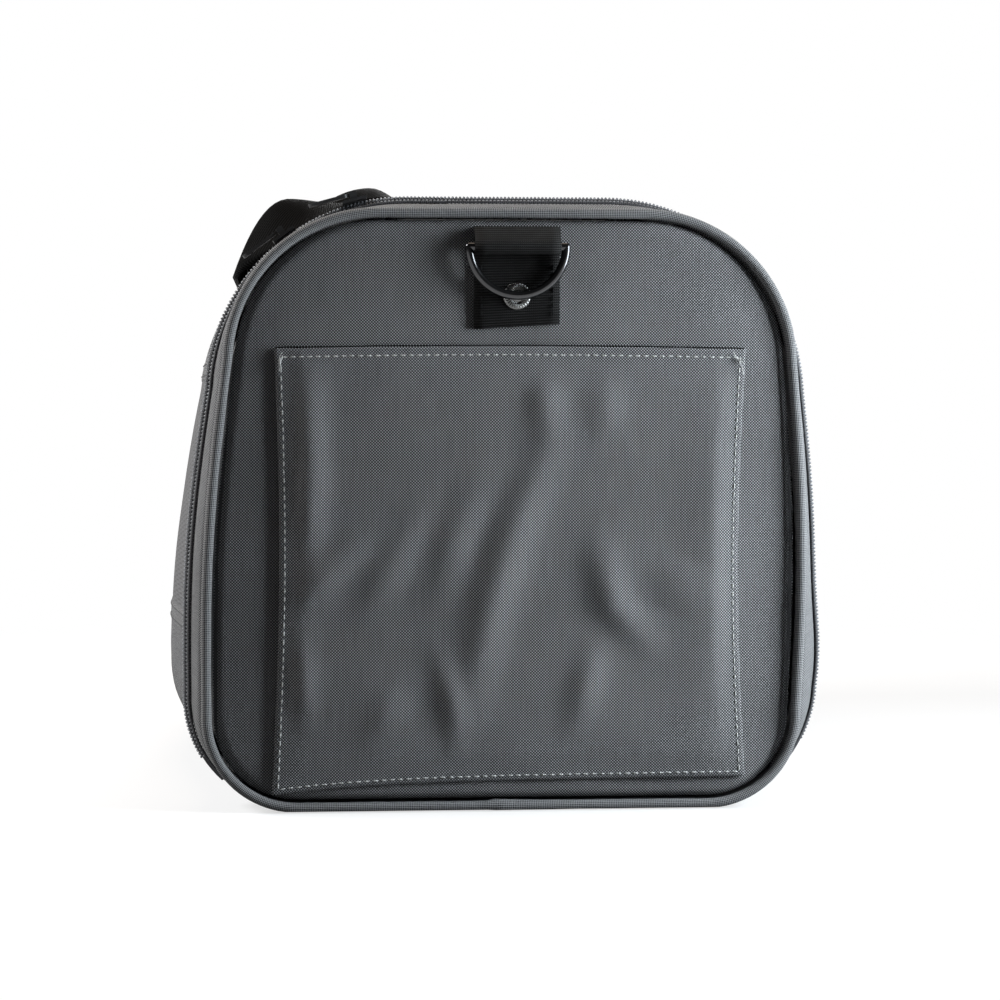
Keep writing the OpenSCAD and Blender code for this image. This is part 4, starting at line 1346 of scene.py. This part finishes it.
mat_y, share = np.linspace(mat_low.y, mat_high.y, 130)[:, None], np.linspace(-1, 1, 80)
mat_x = mat_middle + mat_half * share
top_side = stack(mat_x, mat_y, mat_top(mat_x, mat_y))
under = stack(mat_middle + (mat_half - MAT_TUCK) * share, mat_y, mat_low.z + MAT_OFF)
mat_points = np.concatenate([top_side, under[:, ::-1], top_side[:, :1]], 1)
mat_uv = stack(run_along(mat_points[60]), mat_points[..., 1])
mat = grid_mesh("fleece_mat", mat_points, mat_uv, fleece)
work = bmesh.new()
work.from_mesh(mat.data)
bmesh.ops.holes_fill(work, edges=[e for e in work.edges if e.is_boundary], sides=0)
bmesh.ops.recalc_face_normals(work, faces=work.faces)
work.to_mesh(mat.data)
work.free()
belongs(mat, "shell", "mat", "floor_mat")
print("mat", [round(v, 3) for v in mat.dimensions])

# %% [markdown]
# The board and the spring-wire hoops that hold the ends open are hidden in use, so they keep
# their solids. The board gets a grey plastic and the wires a drawn-steel finish.

# %% Board and hoops
board_skin = moulded("grey_board", (0.10, 0.10, 0.105, 1), 0.55)
spring_steel = plated("spring_steel", (0.22, 0.22, 0.225, 1), 0.28)
refinish(board_skin, "base_board")
refinish(spring_steel, "front_hoop", "rear_hoop")
print("finishes:", board_skin.name, spring_steel.name)

# %% [markdown]
# ## Carry handles
# Each handle is one strip of webbing that leaves a sewn patch on the top, turns, and comes back
# to a second patch. Lying slumped to the left, its grip humps up and droops over the shoulder,
# and the legs lie on their sides there, so that the camera sees the flat of the webbing and not
# only its edge. The strip is swept along a U in plan, and each point then takes its height from
# that slumped form.

# %% Handles
HANDLE_W, HANDLE_T, HANDLE_REACH, HANDLE_Z = mm(38, 2.6, 98, 268.6)
GRIP_TOP = HANDLE_REACH - 0.65 * HANDLE_W
HUMP_START = GRIP_TOP - 0.6 * HANDLE_W
TURN_R, EDGE_CLEAR, EDGE_FROM, EDGE_RUN = mm(21, 4.2, 30, 28)
HANDLE_SEAM_IN = 3 * MM
# The upper outline, from left to right.
TOP_LINE = BODY_LINE[230:94:-1]
Handle = namedtuple("Handle", "word hinge_x leg_y rise droop")
HANDLES = (Handle("left", *mm(-20, 105, 2, 36)),
           Handle("right", *mm(20, 60, 11, 10)))
handle_webbing = ribbed("handle_webbing", (0.007, 0.0068, 0.0067, 1))


def handle_line(leg_y):
    """Middle of the strip in plan: distance from the hinge, y, and outward direction."""
    grip = HANDLE_REACH - HANDLE_W / 2
    turn = np.radians(np.linspace(-90, 0, 24))
    cos, sin = np.cos(turn), np.sin(turn)
    bend_x, bend_y = grip - TURN_R, TURN_R - leg_y
    leg = stack(np.linspace(0, bend_x, 50), -leg_y, 0.0, -1.0)
    bend = stack(bend_x + TURN_R * cos, bend_y + TURN_R * sin, cos, sin)
    hold = stack(grip, np.linspace(bend_y, 0, 30), 1.0, 0.0)
    half = np.concatenate([leg, bend[1:], hold[1:]])
    return np.concatenate([half, (half * [1, -1, 1, -1])[-2::-1]])


def slumped(handle, line, offset):
    """Points of the handle at an offset from the middle of its strip."""
    away, y = line[:, 0] + offset * line[:, 2], line[:, 1] + offset * line[:, 3]
    x = handle.hinge_x - away
    hump = handle.rise * eased((away - HUMP_START) / (GRIP_TOP - HUMP_START))
    over = np.clip((away - GRIP_TOP) / (HANDLE_REACH - GRIP_TOP), 0, 1)
    z = HANDLE_Z + HANDLE_T / 2 + hump - handle.droop * over**2
    low = np.interp(x, TOP_LINE[:, 0], TOP_LINE[:, 1]) + EDGE_CLEAR
    on_leg = eased((np.abs(y) - handle.leg_y + HANDLE_W / 2) / HANDLE_W)
    on_edge = on_leg * eased((away - EDGE_FROM) / EDGE_RUN)
    return stack(x, y, between(z, np.minimum(low, z), on_edge))


for handle in HANDLES:
    line, body = handle_line(handle.leg_y), f"{handle.word}_carry_handle"
    offsets = np.linspace(-0.5, 0.5, 17) * HANDLE_W
    points = np.stack([slumped(handle, line, offset) for offset in offsets], 1)
    uv = stack(offsets, run_along(line[:, :2])[:, None])
    strap = thicken(grid_mesh(f"{handle.word}_strap", points, uv, handle_webbing), HANDLE_T)
    belongs(strap, body, "webbing", f"{handle.word}_handle")
    for side, hand in ((-1, "inner"), (1, "outer")):
        row = slumped(handle, line, side * (HANDLE_W / 2 - HANDLE_SEAM_IN))
        seam = stitches(f"{handle.word}_strap_seam_{hand}", row, OUT_UP, black_thread)
        belongs(seam, body, "webbing")
print("handle strip", round(run_along(line[:, :2])[-1], 3), "m long")

# %% [markdown]
# Each leg of a handle starts from a patch of webbing on the top, sewn down with a box and a cross
# of black thread.

# %% Sewn patches of the handles
PATCH_BACK, PATCH_LEN, PATCH_POINTS, BOX_IN, BOX_OUT = 6 * MM, 26 * MM, 20, 4 * MM, 0.1 * MM
PATCH_Z = BODY.height + PLY
PATCH_FROM = {"left": -PATCH_LEN, "right": -PATCH_BACK}
for handle in HANDLES:
    start = handle.hinge_x + PATCH_FROM[handle.word]
    x = np.linspace(start, start + PATCH_LEN + PATCH_BACK, PATCH_POINTS)
    for end, word in ((-1, "front"), (1, "rear")):
        name, y = f"{handle.word}_patch_{word}", end * handle.leg_y
        made = ribbon(name, stack(x, y, PATCH_Z), (0, 1.0, 0), HANDLE_W, PLY, black_webbing)
        belongs(made, "shell", "webbing", *([f"{handle.word}_handle_patches"] if end < 0 else []))
        low, high = y - (HANDLE_W / 2 - BOX_IN), y + (HANDLE_W / 2 - BOX_IN)
        a, b, c, d = (np.array([*spot, PATCH_Z + BOX_OUT])
                      for spot in ((x[2], low), (x[-3], low), (x[-3], high), (x[2], high)))
        legs = ((a, b), (b, c), (c, d), (d, a), (a, c), (c, b), (b, d))
        walk = np.concatenate([np.linspace(p, q, 20)[:-1] for p, q in legs])
        box = stitches(name + "_box_stitch", walk, OUT_UP, black_thread, FINE_PITCH)
        belongs(box, "shell", "webbing")
print("four sewn patches")
